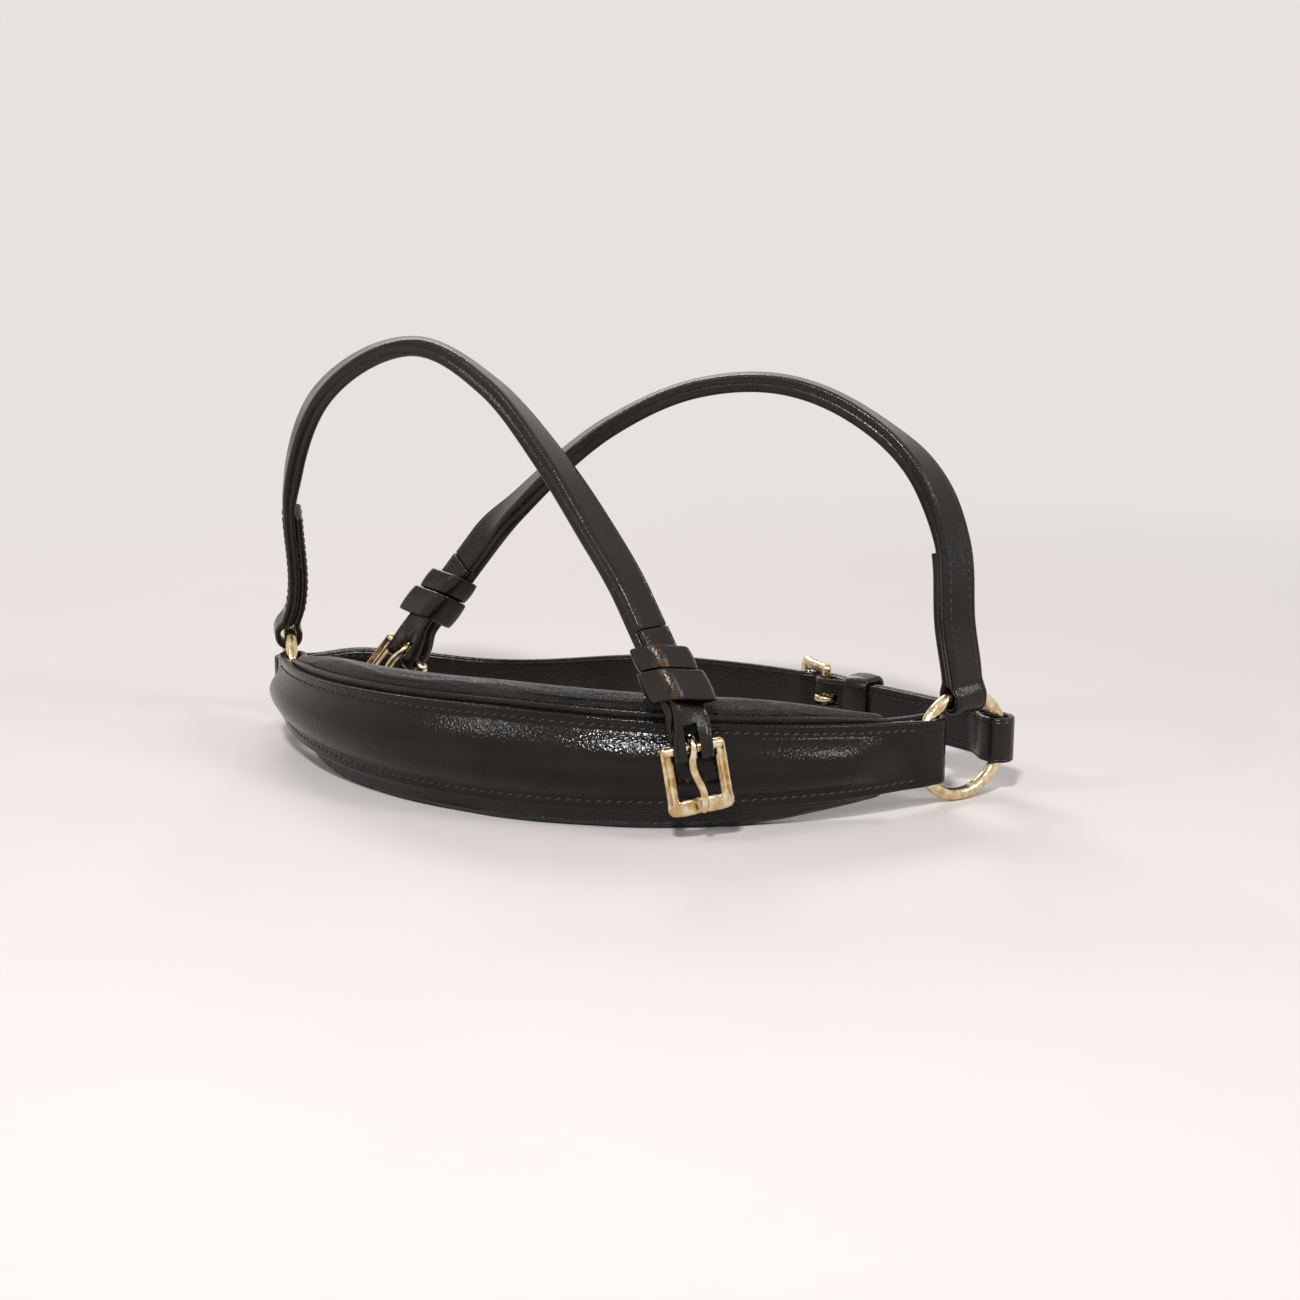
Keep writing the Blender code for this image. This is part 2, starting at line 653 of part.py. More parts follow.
def rod(name, points, radius, mat):
    # A round wire along hand-placed points, made with a bevelled curve and closed at both ends
    data = bpy.data.curves.new(name, "CURVE")
    data.dimensions = "3D"
    data.bevel_depth = radius
    data.bevel_resolution = 2
    data.use_fill_caps = True
    data.render_resolution_u = 0
    line = data.splines.new("POLY")
    line.points.add(len(points) - 1)
    for i, p in enumerate(points):
        line.points[i].co = (p.x, p.y, p.z, 1.0)
    holder = bpy.data.objects.new(name + "_curve", data)
    PARTS.objects.link(holder)
    mesh = bpy.data.meshes.new_from_object(holder)
    bpy.data.objects.remove(holder)
    work = bmesh.new()
    work.from_mesh(mesh)
    bmesh.ops.remove_doubles(work, verts=work.verts, dist=0.00001)
    bmesh.ops.recalc_face_normals(work, faces=work.faces)
    work.to_mesh(mesh)
    work.free()
    mesh.name = name
    mesh.materials.clear()
    mesh.materials.append(mat)
    mesh.shade_smooth()
    obj = bpy.data.objects.new(name, mesh)
    PARTS.objects.link(obj)
    return obj


def tongue_hook():
    reach = BUCKLE_BAR_RADIUS + WIRE_FIT + TONGUE_RADIUS
    points = []
    for i in range(10):
        turn = math.radians(mix(350.0, 90.0, i / 9.0))
        points.append(Vector((0.0, reach * math.cos(turn), reach * math.sin(turn))))
    return points


def cheek_tongue(name, matrix, mat):
    reach = BUCKLE_BAR_RADIUS + WIRE_FIT + TONGUE_RADIUS
    points = tongue_hook()
    for share in (0.15, 0.30, 0.45, 0.60, 0.75, 0.90, 1.0):
        sway = TONGUE_SWAY * math.sin(2.0 * math.pi * share)
        points.append(Vector((-sway, (BUCKLE_LENGTH - 0.001) * share, reach)))
    return rod(name, [matrix @ p for p in points], TONGUE_RADIUS, mat)


def cut_box(obj, matrix, low, high):
    # Cuts a box out of a piece with an exact Boolean
    corners = [Vector((x, y, z)) for x in (low.x, high.x) for y in (low.y, high.y) for z in (low.z, high.z)]
    faces = [(0, 1, 3, 2), (4, 6, 7, 5), (0, 4, 5, 1), (2, 3, 7, 6), (0, 2, 6, 4), (1, 5, 7, 3)]
    mesh = bpy.data.meshes.new(obj.name + "_slot")
    mesh.from_pydata([tuple(matrix @ c) for c in corners], [], faces)
    work = bmesh.new()
    work.from_mesh(mesh)
    bmesh.ops.recalc_face_normals(work, faces=work.faces)
    work.to_mesh(mesh)
    work.free()
    cutter = bpy.data.objects.new(obj.name + "_slot", mesh)
    CUTTERS.objects.link(cutter)
    cutter.hide_render = True
    cutter.display_type = "WIRE"
    change = obj.modifiers.new("slot", "BOOLEAN")
    change.operation = "DIFFERENCE"
    change.solver = "EXACT"
    change.object = cutter
    bpy.context.view_layer.update()
    result = bpy.data.meshes.new_from_object(obj.evaluated_get(bpy.context.evaluated_depsgraph_get()))
    obj.modifiers.clear()
    obj.data = result
    result.name = obj.name


def build_cheek(side, line, leather, brass):
    length = line.length
    stations = cheek_stations(length)
    strap = strip("cheek_" + side + "_strap", line.point, stations, CHEEK_WIDTH, CHEEK_CORNER, leather)
    bar = line.matrix(length)
    reach = BUCKLE_BAR_RADIUS + WIRE_FIT + CHEEK_BAR_THICKNESS + 0.002
    low = Vector((-0.5 * TONGUE_SLOT, -TONGUE_SLOT_LENGTH, -reach))
    high = Vector((0.5 * TONGUE_SLOT, reach, reach))
    cut_box(strap, bar, low, high)
    half = 0.5 * CHEEK_THICKNESS
    low_n = -half - GAP
    high_n = half + GAP + KEEPER_HEADROOM
    half_w = 0.5 * CHEEK_WIDTH + GAP
    fixed_at = length - FIXED_KEEPER_OFFSET - 0.5 * FIXED_KEEPER_LENGTH
    runner_at = fixed_at - 0.5 * FIXED_KEEPER_LENGTH - GAP - 0.5 * RUNNER_KEEPER_LENGTH
    slant = LEFT_KEEPER_SLANT if side == "left" else RIGHT_KEEPER_SLANT
    keeper("cheek_" + side + "_fixed_keeper", line.matrix(fixed_at), low_n, high_n + FIXED_KEEPER_ROOM,
           half_w + FIXED_KEEPER_ROOM, FIXED_KEEPER_WALL, FIXED_KEEPER_LENGTH, leather, slant)
    keeper("cheek_" + side + "_runner_keeper", line.matrix(runner_at), low_n, high_n, half_w,
           KEEPER_WALL, RUNNER_KEEPER_LENGTH, leather, slant)
    buckle("cheek_" + side + "_buckle", bar, BUCKLE_INSIDE, BUCKLE_LENGTH, brass)
    cheek_tongue("cheek_" + side + "_tongue", bar, brass)
    return bar, line.matrix(runner_at)


def cheek_line(ring_side, route, head, straight, bar, bar_way, end_angles):
    top = Vector((ring_side * RING_X, RING_Y, RING_HEIGHT + RING_RADIUS))
    way = straight.normalized()
    span = CHEEK_STRAIGHT_START - CHEEK_STRAIGHT_END
    knots = [top] + [Vector(p[:3]) for p in route] + [head - way * span, head, bar]
    ways = [Vector((0.0, 0.0, 1.0))]
    for i in range(1, len(knots) - 3):
        before = (knots[i] - knots[i - 1])
        after = (knots[i + 1] - knots[i])
        ways.append((before.normalized() * after.length + after.normalized() * before.length).normalized())
    ways += [way, way, bar_way.normalized()]
    angles = [180.0 + ring_side * math.degrees(RING_PLANE)] + [p[3] for p in route]
    angles += [end_angles[0], end_angles[0], end_angles[1]]
    return Line(knots, ways, angles)


def chin_middle(u):
    # The strap sags a little between its left ring and the middle
    share = max(0.0, min(1.0, (u - 0.012) / 0.150))
    drop = BILLET_LOOP_DROP * (1.0 - ease(u / 0.06))
    return RING_HEIGHT - CHIN_DIP * math.sin(math.pi * share) ** 2 - drop


def chin_place_right(u, n, w):
    return CHIN.place(CHIN.length - u, n, chin_middle(CHIN.length - u) + w)


def chin_place_left(u, n, w):
    return CHIN.place(u, n, chin_middle(u) + w)


def chin_loop(stations, lap, step):
    drop = wire_drop(0.5 * CHIN_WIDTH)
    wrap = WIRE_RADIUS + WIRE_FIT + 0.5 * drop + 0.5 * CHIN_THICKNESS
    layer = 0.5 * (CHIN_THICKNESS + GAP)
    level = -0.5 * drop
    for u in spread(lap, 0.0135, step)[:-1]:
        stations.append((u, -layer, CHIN_THICKNESS, 0.0, -1.0))
    for u in (0.0135, 0.011, 0.0085, 0.006, 0.003, 0.0):
        share = ease((u - 0.002) / 0.0115)
        stations.append((u, mix(level - wrap, -layer, share), CHIN_THICKNESS, 0.0, -1.0))
    wrap_start(stations, 0.0, wrap, CHIN_THICKNESS, level)
    for u in (0.0, 0.003, 0.006, 0.0085, 0.011, 0.0135):
        share = ease((u - 0.002) / 0.0115)
        stations.append((u, mix(level + wrap, layer, share), CHIN_THICKNESS, 0.0, 1.0))


def build_chin(leather, brass):
    layer = 0.5 * (CHIN_THICKNESS + GAP)
    bar_reach = BUCKLE_BAR_RADIUS + WIRE_FIT + 0.5 * CHIN_THICKNESS
    stations = []
    chin_loop(stations, CHIN_LOOP_LAP, 0.011)
    for u in spread(0.0135, CHIN_BAR_AT - 0.010, 0.011)[1:]:
        stations.append((u, layer, CHIN_THICKNESS, 0.0, 1.0))
    for back in (0.0075, 0.005, 0.0025, 0.0):
        share = ease((0.010 - back) / 0.009)
        stations.append((CHIN_BAR_AT - back, mix(layer, bar_reach, share), CHIN_THICKNESS, 0.0, 1.0))
    wrap_end(stations, CHIN_BAR_AT, bar_reach, CHIN_THICKNESS, 1.0)
    for back in (0.0, 0.0025, 0.005, 0.0075, 0.010, CHIN_BAR_LAP):
        share = ease((0.010 - back) / 0.009)
        stations.append((CHIN_BAR_AT - back, -mix(layer, bar_reach, share), CHIN_THICKNESS, 0.0, -1.0))
    strap = strip("chin_buckle_strap", chin_place_right, stations, CHIN_WIDTH, CHIN_CORNER, leather, 1)
    place = chin_place_right(CHIN_BAR_AT, 0.0, 0.0)
    way = (chin_place_right(CHIN_BAR_AT + 0.001, 0.0, 0.0) - place).normalized()
    width = Vector((0.0, 0.0, 1.0))
    width = (width - way * width.dot(way)).normalized()
    out = (chin_place_right(CHIN_BAR_AT, 0.01, 0.0) - place).normalized()
    width = way.cross(out)
    bar = Matrix((
        (width.x, way.x, out.x, place.x),
        (width.y, way.y, out.y, place.y),
        (width.z, way.z, out.z, place.z),
        (0.0, 0.0, 0.0, 1.0),
    ))
    reach = BUCKLE_BAR_RADIUS + WIRE_FIT + CHIN_THICKNESS + 0.001
    low = Vector((-0.5 * TONGUE_SLOT, -0.007, -reach))
    high = Vector((0.5 * TONGUE_SLOT, reach, reach))
    cut_box(strap, bar, low, high)
    over_bar = bar_reach + CHIN_THICKNESS + GAP
    under_end = BILLET_UNDER_END
    on_stack = layer + CHIN_THICKNESS + GAP
    total = CHIN.length
    stations = []
    chin_loop(stations, BILLET_LOOP_LAP, 0.011)
    run_end = total - CHIN_BAR_AT - 0.0225
    for u in spread(0.0135, run_end, 0.0125)[1:]:
        share = ease((u - run_end + BILLET_DRIFT) / BILLET_DRIFT)
        stations.append((u, mix(layer, under_end, share), CHIN_THICKNESS, 0.0, 1.0))
    for ahead, n in ((0.0175, under_end), (0.0120, under_end), (0.0080, mix(under_end, over_bar, 0.62)),
                     (0.0045, mix(under_end, over_bar, 0.97)), (0.0015, over_bar), (-0.0020, over_bar),
                     (-0.0055, mix(on_stack, over_bar, 0.60))):
        stations.append((total - CHIN_BAR_AT - ahead, n, CHIN_THICKNESS, 0.0, 1.0))
    stations.append((total - BILLET_TIP_AT, on_stack, CHIN_THICKNESS, 0.0, 1.0))
    billet = strip("chin_billet_strap", chin_place_left, stations, CHIN_WIDTH, CHIN_CORNER, leather, 1,
                   BILLET_LOOP_WIDTH)
    hole_low = Vector((-0.5 * BILLET_HOLE, BILLET_HOLE_START, over_bar - 0.005))
    hole_high = Vector((0.5 * BILLET_HOLE, BILLET_HOLE_START + BILLET_HOLE_LENGTH, over_bar + 0.005))
    cut_box(billet, bar, hole_low, hole_high)
    tilted = bar @ Matrix.Rotation(CHIN_BUCKLE_TILT, 4, "X")
    buckle("chin_buckle", tilted, CHIN_BUCKLE_INSIDE, CHIN_BUCKLE_LENGTH, brass)
    points = tongue_hook()
    for y, z in CHIN_TONGUE_ROUTE:
        points.append(Vector((0.0, y, z)))
    rod("chin_tongue", [tilted @ p for p in points], TONGUE_RADIUS, brass)
    place = chin_place_right(CHIN_KEEPER_AT, 0.0, 0.0)
    way = (chin_place_right(CHIN_KEEPER_AT + 0.001, 0.0, 0.0) - place).normalized()
    out = (chin_place_right(CHIN_KEEPER_AT, 0.01, 0.0) - place).normalized()
    side = way.cross(out)
    frame = Matrix((
        (side.x, way.x, out.x, place.x),
        (side.y, way.y, out.y, place.y),
        (side.z, way.z, out.z, place.z),
        (0.0, 0.0, 0.0, 1.0),
    ))
    low_n = -CHIN_THICKNESS - 0.5 * GAP - GAP
    high_n = CHIN_THICKNESS + 0.5 * GAP + CHIN_KEEPER_RISE
    half_w = 0.5 * CHIN_WIDTH + GAP
    keeper("chin_keeper", frame, low_n, high_n, half_w, KEEPER_WALL, CHIN_KEEPER_LENGTH, leather)


for old in list(bpy.data.objects):
    bpy.data.objects.remove(old, do_unlink=True)

PARTS = bpy.data.collections.new("hanoverian_noseband")
bpy.context.scene.collection.children.link(PARTS)
CUTTERS = bpy.data.collections.new("cutters")
bpy.context.scene.collection.children.link(CUTTERS)

BLACK = material("black_leather", (0.016, 0.014, 0.013), 0.42, 0.0)
SOFT = material("soft_black_leather", (0.020, 0.018, 0.017), 0.55, 0.0)
FOAM = material("padding_foam", (0.30, 0.29, 0.27), 0.90, 0.0)
BRASS = material("brass", (0.72, 0.49, 0.20), 0.22, 1.0)

build_nose_front(BLACK)
build_nose_core(FOAM)
build_nose_backing(BLACK)
build_nose_lining(SOFT, FOAM)
build_ring("ring_left", -1.0, BRASS)
build_ring("ring_right", 1.0, BRASS)

left_head = nose_stand(LEFT_HEAD_ANGLE, LEFT_HEAD_STANDOFF, LEFT_HEAD_HEIGHT)
left_bar = nose_stand(LEFT_BAR_ANGLE, LEFT_BAR_STANDOFF, LEFT_BAR_HEIGHT)
left = cheek_line(-1.0, LEFT_ROUTE, left_head, LEFT_STRAIGHT_WAY,
                  left_bar, LEFT_BAR_WAY, LEFT_END_ANGLES)
right = cheek_line(1.0, RIGHT_ROUTE, RIGHT_STRAIGHT_HEAD, RIGHT_STRAIGHT_WAY,
                   RIGHT_BAR, RIGHT_BAR_WAY, RIGHT_END_ANGLES)
left_frames = build_cheek("left", left, BLACK, BRASS)
right_frames = build_cheek("right", right, BLACK, BRASS)
build_chin(BLACK, BRASS)

# The origin goes to the middle of the bounding box at floor level; moving pieces turn about their own origins
corners = [obj.matrix_world @ Vector(c) for obj in PARTS.objects for c in obj.bound_box]
shift = Vector((
    -0.5 * (min(c.x for c in corners) + max(c.x for c in corners)),
    -0.5 * (min(c.y for c in corners) + max(c.y for c in corners)),
    0.0,
))
pivots = {
    "ring_left": Vector((-RING_X, RING_Y, RING_HEIGHT)),
    "ring_right": Vector((RING_X, RING_Y, RING_HEIGHT)),
}
for side, line, frames in (("left", left, left_frames), ("right", right, right_frames)):
    pivots["cheek_" + side + "_strap"] = line.pos[0]
    pivots["cheek_" + side + "_fixed_keeper"] = line.pos[0]
    pivots["cheek_" + side + "_buckle"] = frames[0].to_translation()
    pivots["cheek_" + side + "_tongue"] = frames[0].to_translation()
    pivots["cheek_" + side + "_runner_keeper"] = frames[1].to_translation()
for obj in PARTS.objects:
    pivot = pivots.get(obj.name, Vector((0.0, 0.0, 0.0)))
    obj.data.transform(Matrix.Translation(-pivot))
    obj.location = pivot + shift
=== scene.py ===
# Looks of the padded noseband of a hanoverian bridle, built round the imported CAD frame.
# Lengths are metres. X runs from ring to ring, +Y points to the chin strap, +Z is up, the floor is z = 0.
import math

import bmesh
import bpy
import numpy as np
from mathutils import Matrix, Vector


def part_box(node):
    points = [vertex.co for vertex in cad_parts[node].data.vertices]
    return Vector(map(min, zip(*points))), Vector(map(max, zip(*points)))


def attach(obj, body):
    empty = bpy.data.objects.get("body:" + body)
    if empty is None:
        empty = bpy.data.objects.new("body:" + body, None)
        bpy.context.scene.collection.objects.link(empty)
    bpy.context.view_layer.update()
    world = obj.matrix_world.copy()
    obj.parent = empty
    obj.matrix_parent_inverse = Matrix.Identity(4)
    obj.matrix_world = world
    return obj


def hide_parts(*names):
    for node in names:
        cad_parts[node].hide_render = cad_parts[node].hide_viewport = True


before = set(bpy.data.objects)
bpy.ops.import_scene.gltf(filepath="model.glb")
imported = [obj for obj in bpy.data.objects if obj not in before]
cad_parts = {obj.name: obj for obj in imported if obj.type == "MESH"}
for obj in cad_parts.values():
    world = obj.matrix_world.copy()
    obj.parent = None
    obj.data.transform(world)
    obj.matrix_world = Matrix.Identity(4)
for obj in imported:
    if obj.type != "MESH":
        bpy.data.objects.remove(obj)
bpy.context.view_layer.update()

# Shared fits
GAP = 0.0003
SEWN_GAP = 0.00003
WIRE_FIT = 0.0003

# Nose piece
NOSE_RADIUS = 0.148
NOSE_ANGLE = math.radians(58.0)
NOSE_TAPER_POWER = 1.45
NOSE_END_HALF = 0.0115
NOSE_MID_HALF = 0.0165
NOSE_RISE = 0.004
BACKING_THICKNESS = 0.002
BACKING_MARGIN = 0.0022
BACKING_SETBACK = 0.0128
FRONT_THICKNESS = 0.003
CROWN_RISE = 0.005
CROWN_MARGIN = 0.0042
CROWN_END_MARGIN = 0.0038
CROWN_LEFT_FADE = 0.010
CROWN_RIGHT_FADE = 0.032
CROWN_RIGHT_SETBACK = 0.006
FRONT_LAP = 0.0125
FRONT_SETTLE = 0.012
NOSE_STEP = 0.0016
LINING_PROUD = 0.0075
LINING_END_PROUD = 0.0015
LINING_DEPTH = 0.0077
LINING_SETBACK = 0.0145
LINING_FADE = 0.030
LINING_PRESSURE = 4.0
LINING_GROWTH = 0.010
LINING_REACH = 0.0008
LINING_SINK = 0.0001
LINING_FRAMES = 20
LINING_STEP = 0.0014
REST_CUT = 0.0005
NOSE_STITCH_INSET = 0.0030
NOSE_STITCH_PITCH = 0.0034
NOSE_STITCH_START = 0.0075

# Rings
RING_RADIUS = 0.01775
WIRE_RADIUS = 0.00225
RING_PLANE = math.radians(54.0)

# Cheek straps
CHEEK_WIDTH = 0.013
CHEEK_THICKNESS = 0.0062
CHEEK_NEAR_THICKNESS = 0.0047
CHEEK_LOOP_THICKNESS = 0.0022
CHEEK_LAP_THICKNESS = 0.0024
CHEEK_LOOP_LAP = 0.052
CHEEK_WAIST = 0.0055
CHEEK_WAIST_START = 0.0005
CHEEK_WAIST_END = 0.009
CHEEK_STEP = 0.0016
CHEEK_FINE_STEP = 0.0006
CHEEK_CORNER = 0.0011
CHEEK_BAR_THICKNESS = 0.0025
CHEEK_BAR_LAP = 0.041
CHEEK_BAR_BLEND = 0.013
CHEEK_STRAIGHT_START = 0.052
CHEEK_STRAIGHT_END = 0.015
KNOT_STEPS = 24
CHEEK_SWING = math.radians(60.0)
CHEEK_STITCH_INSET = 0.0027
CHEEK_STITCH_PITCH = 0.0029
CHEEK_STITCH_START = 0.0125
THREAD_LIFT = 0.00002
CREASE_INSET = 0.00125
CREASE_DEPTH = 0.00022
RAW_END = 3.0
FIXED_KEEPER_OFFSET = 0.015
FIXED_KEEPER_LENGTH = 0.011
RUNNER_KEEPER_LENGTH = 0.0085
KEEPER_WALL = 0.0018
KEEPER_CORNER = 0.0029
KEEPER_DOME = 0.00045
KEEPER_HEADROOM = 0.0018
FIXED_KEEPER_WALL = 0.0024
FIXED_KEEPER_ROOM = 0.0005
TONGUE_SLOT = 0.0048
TONGUE_SLOT_LENGTH = 0.0088

# Buckles
BUCKLE_INSIDE = 0.0140
BUCKLE_LEG = 0.0038
BUCKLE_LEG_DEPTH = 0.0032
BUCKLE_LENGTH = 0.0220
BUCKLE_END_BAR = 0.0055
BUCKLE_BAR_RADIUS = 0.0018
BUCKLE_CORNER = 0.0030
BUCKLE_SQUARE = 0.22
BUCKLE_CHANNEL = 0.0013
BUCKLE_RIM = 0.0006
TONGUE_RADIUS = 0.0013
TONGUE_SWAY = 0.0011

# Chin strap
CHIN_WIDTH = 0.016
CHIN_THICKNESS = 0.002
CHIN_CORNER = 0.0008
CHIN_SETTLE = 0.0135
CHIN_STITCH_INSET = 0.0030
CHIN_SAGITTA = 0.042
CHIN_DIP = 0.006
CHIN_DIP_START = 0.012
CHIN_DIP_LENGTH = 0.150
CHIN_BAR_AT = 0.082
CHIN_LOOP_LAP = 0.064
CHIN_BAR_LAP = 0.012
CHIN_BUCKLE_INSIDE = 0.0175
CHIN_BUCKLE_LENGTH = 0.0175
BILLET_TIP_AT = 0.0725
BILLET_LOOP_WIDTH = 0.012
BILLET_LOOP_DROP = 0.002
BILLET_DROP_FADE = 0.06
BILLET_LOOP_LAP = 0.045
CHIN_KEEPER_AT = 0.0665
CHIN_KEEPER_LENGTH = 0.010
CHIN_KEEPER_RISE = 0.0045
CHIN_BUCKLE_TILT = math.radians(28.0)
CHIN_TONGUE_ROUTE = (
    (0.0012, 0.0039),
    (0.0030, 0.0054),
    (0.0055, 0.0066),
    (0.0090, 0.0069),
    (0.0120, 0.0058),
    (0.0148, 0.0042),
    (0.0170, 0.0034),
)
BILLET_UNDER_END = 0.0026
BILLET_DRIFT = 0.050
BILLET_HOLE = 0.0036
BILLET_HOLE_START = -0.0030
BILLET_HOLE_LENGTH = 0.0080

# Routes of the cheek straps
LEFT_ROUTE = (
    (-0.1316, 0.0132, 0.0495, 123.0),
    (-0.1235, 0.0014, 0.0951, 125.0),
    (-0.1016, -0.0103, 0.1340, 129.0),
    (-0.0576, -0.0185, 0.1533, 122.0),
    (-0.0219, -0.0301, 0.1412, 109.0),
    (0.0048, -0.0408, 0.1201, 87.0),
    (0.0253, -0.0489, 0.0985, 68.0),
)
LEFT_HEAD_ANGLE = math.radians(23.8)
LEFT_HEAD_STANDOFF = 0.01084
LEFT_HEAD_HEIGHT = 0.0465
LEFT_STRAIGHT_WAY = Vector((0.530, -0.225, -0.817))
LEFT_BAR_ANGLE = math.radians(25.1)
LEFT_BAR_STANDOFF = 0.0135
LEFT_BAR_HEIGHT = 0.032
LEFT_BAR_WAY = Vector((0.15, 0.06, -0.985))
LEFT_END_ANGLES = (70.0, 31.0)
LEFT_KEEPER_SLANT = (0.20, 0.30)
RIGHT_ROUTE = (
    (0.1343, 0.0074, 0.0643, 230.0),
    (0.1306, 0.0118, 0.0909, 234.0),
    (0.1175, 0.0138, 0.1164, 256.0),
    (0.1030, 0.0157, 0.1281, 278.0),
    (0.0702, 0.0167, 0.1413, 286.0),
    (0.0367, 0.0154, 0.1393, 287.0),
    (0.0055, 0.0106, 0.1252, 296.0),
    (-0.0272, 0.0000, 0.0958, 313.0),
)
RIGHT_STRAIGHT_HEAD = Vector((-0.0619, -0.0078, 0.0522))
RIGHT_STRAIGHT_WAY = Vector((-0.567, -0.186, -0.802))
RIGHT_BAR = Vector((-0.0690, -0.0100, 0.0395))
RIGHT_BAR_WAY = Vector((-0.56, -0.25, -0.79))
RIGHT_END_ANGLES = (332.0, 358.0)
RIGHT_KEEPER_SLANT = (-0.40, 0.0)

# Camera, measured from the photograph's frame
CAMERA_AZIMUTH = math.radians(23.0)
CAMERA_ELEVATION = math.radians(12.5)
CAMERA_DISTANCE = 0.750
CAMERA_SIDE = 0.023
CAMERA_HEIGHT = 0.0445
CAMERA_LENS = 57.185


def ease(value):
    value = max(0.0, min(1.0, value))
    return value * value * (3.0 - 2.0 * value)


def mix(low, high, share):
    return low + (high - low) * share


def spread(start, end, step):
    count = max(1, math.ceil(abs(end - start) / step - 1e-6))
    return [start + (end - start) * i / count for i in range(count + 1)]


def srgb(code):
    # A hex colour of the screen as linear red, green, blue and alpha
    channels = [int(code[i:i + 2], 16) / 255.0 for i in (1, 3, 5)]
    linear = [c / 12.92 if c <= 0.04045 else ((c + 0.055) / 1.055) ** 2.4 for c in channels]
    return (*linear, 1.0)


def add(tree, kind, links=None, **settings):
    # Adds a node: settings are its properties, links its inputs, each a value or another node's output
    made = tree.nodes.new(kind)
    for key, value in settings.items():
        setattr(made, key, value)
    for name, value in (links or {}).items():
        if isinstance(value, bpy.types.NodeSocket):
            tree.links.new(value, made.inputs[name])
        else:
            made.inputs[name].default_value = value
    return made


# ---------------------------------------------------------------- shapes

class Line:
    # A smooth centre line with a width direction; each place on it has a local frame
    def __init__(self, knots, ways, angles):
        self.pos = []
        for i in range(len(knots) - 1):
            chord = (knots[i + 1] - knots[i]).length
            self.pos += [self.curve(knots[i], ways[i] * chord, knots[i + 1], ways[i + 1] * chord, j / KNOT_STEPS)
                         for j in range(KNOT_STEPS)]
        self.pos.append(knots[-1].copy())
        last = len(self.pos) - 1
        self.at_u = [0.0]
        for before, after in zip(self.pos, self.pos[1:]):
            self.at_u.append(self.at_u[-1] + (after - before).length)
        self.length = self.at_u[-1]
        self.way = [(self.pos[min(last, i + 1)] - self.pos[max(0, i - 1)]).normalized() for i in range(last + 1)]
        self.way[0], self.way[-1] = ways[0].normalized(), ways[-1].normalized()
        self.width = []
        for way, turn in zip(self.way, self.width_turns(angles)):
            side = Vector((math.cos(math.radians(turn)), math.sin(math.radians(turn)), 0.0))
            self.width.append((side - way * side.dot(way)).normalized())

    @staticmethod
    def curve(start, head, end, tail, t):
        a = 2 * t ** 3 - 3 * t ** 2 + 1
        b = t ** 3 - 2 * t ** 2 + t
        c = -2 * t ** 3 + 3 * t ** 2
        d = t ** 3 - t ** 2
        return start * a + head * b + end * c + tail * d

    def width_turns(self, angles):
        # The width's compass angle at each point, smooth through the knots and steady along the straight end
        ends = [self.at_u[KNOT_STEPS * i] for i in range(len(angles))]
        rates = [0.0] * len(angles)
        for i in range(1, len(angles) - 3):
            rates[i] = (angles[i + 1] - angles[i - 1]) / (ends[i + 1] - ends[i - 1])
        turns = []
        for i in range(len(angles) - 1):
            span = ends[i + 1] - ends[i]
            for j in range(KNOT_STEPS):
                t = (self.at_u[KNOT_STEPS * i + j] - ends[i]) / span
                turns.append(self.curve(angles[i], rates[i] * span, angles[i + 1], rates[i + 1] * span, t))
        turns.append(angles[-1])
        return turns

    def frame(self, u):
        if u <= 0.0:
            return self.pos[0] + self.way[0] * u, self.way[0], self.width[0]
        if u >= self.length:
            return self.pos[-1] + self.way[-1] * (u - self.length), self.way[-1], self.width[-1]
        i = max(1, int(np.searchsorted(self.at_u, u)))
        t = (u - self.at_u[i - 1]) / (self.at_u[i] - self.at_u[i - 1])
        place = self.pos[i - 1].lerp(self.pos[i], t)
        way = self.way[i - 1].lerp(self.way[i], t).normalized()
        side = self.width[i - 1].lerp(self.width[i], t)
        side -= way * side.dot(way)
        return place, way, side.normalized()

    def point(self, u, n, w):
        place, way, side = self.frame(u)
        return place + way.cross(side) * n + side * w

    def matrix(self, u):
        place, way, side = self.frame(u)
        return axes(place, way, side, way.cross(side))


def axes(place, way, side, out):
    # A local frame: x is the width, y the way along the strap, z the outer side
    turned = Matrix((side, way, out)).transposed().to_4x4()
    turned.translation = place
    return turned


class Arc:
    # A level arc; u runs from one wire to the other, n points away from the arc's centre, z is the height
    def __init__(self, radius, half_angle, centre, facing):
        self.radius, self.half, self.centre, self.facing = radius, half_angle, centre, facing
        self.length = 2.0 * half_angle * radius

    def place(self, u, n, z):
        inside = max(0.0, min(self.length, u))
        angle = inside / self.radius - self.half
        out = Vector((math.sin(angle), self.facing * math.cos(angle), 0.0))
        along = Vector((math.cos(angle), -self.facing * math.sin(angle), 0.0))
        spot = self.centre + out * (self.radius + n) + along * (u - inside)
        return Vector((spot.x, spot.y, z))


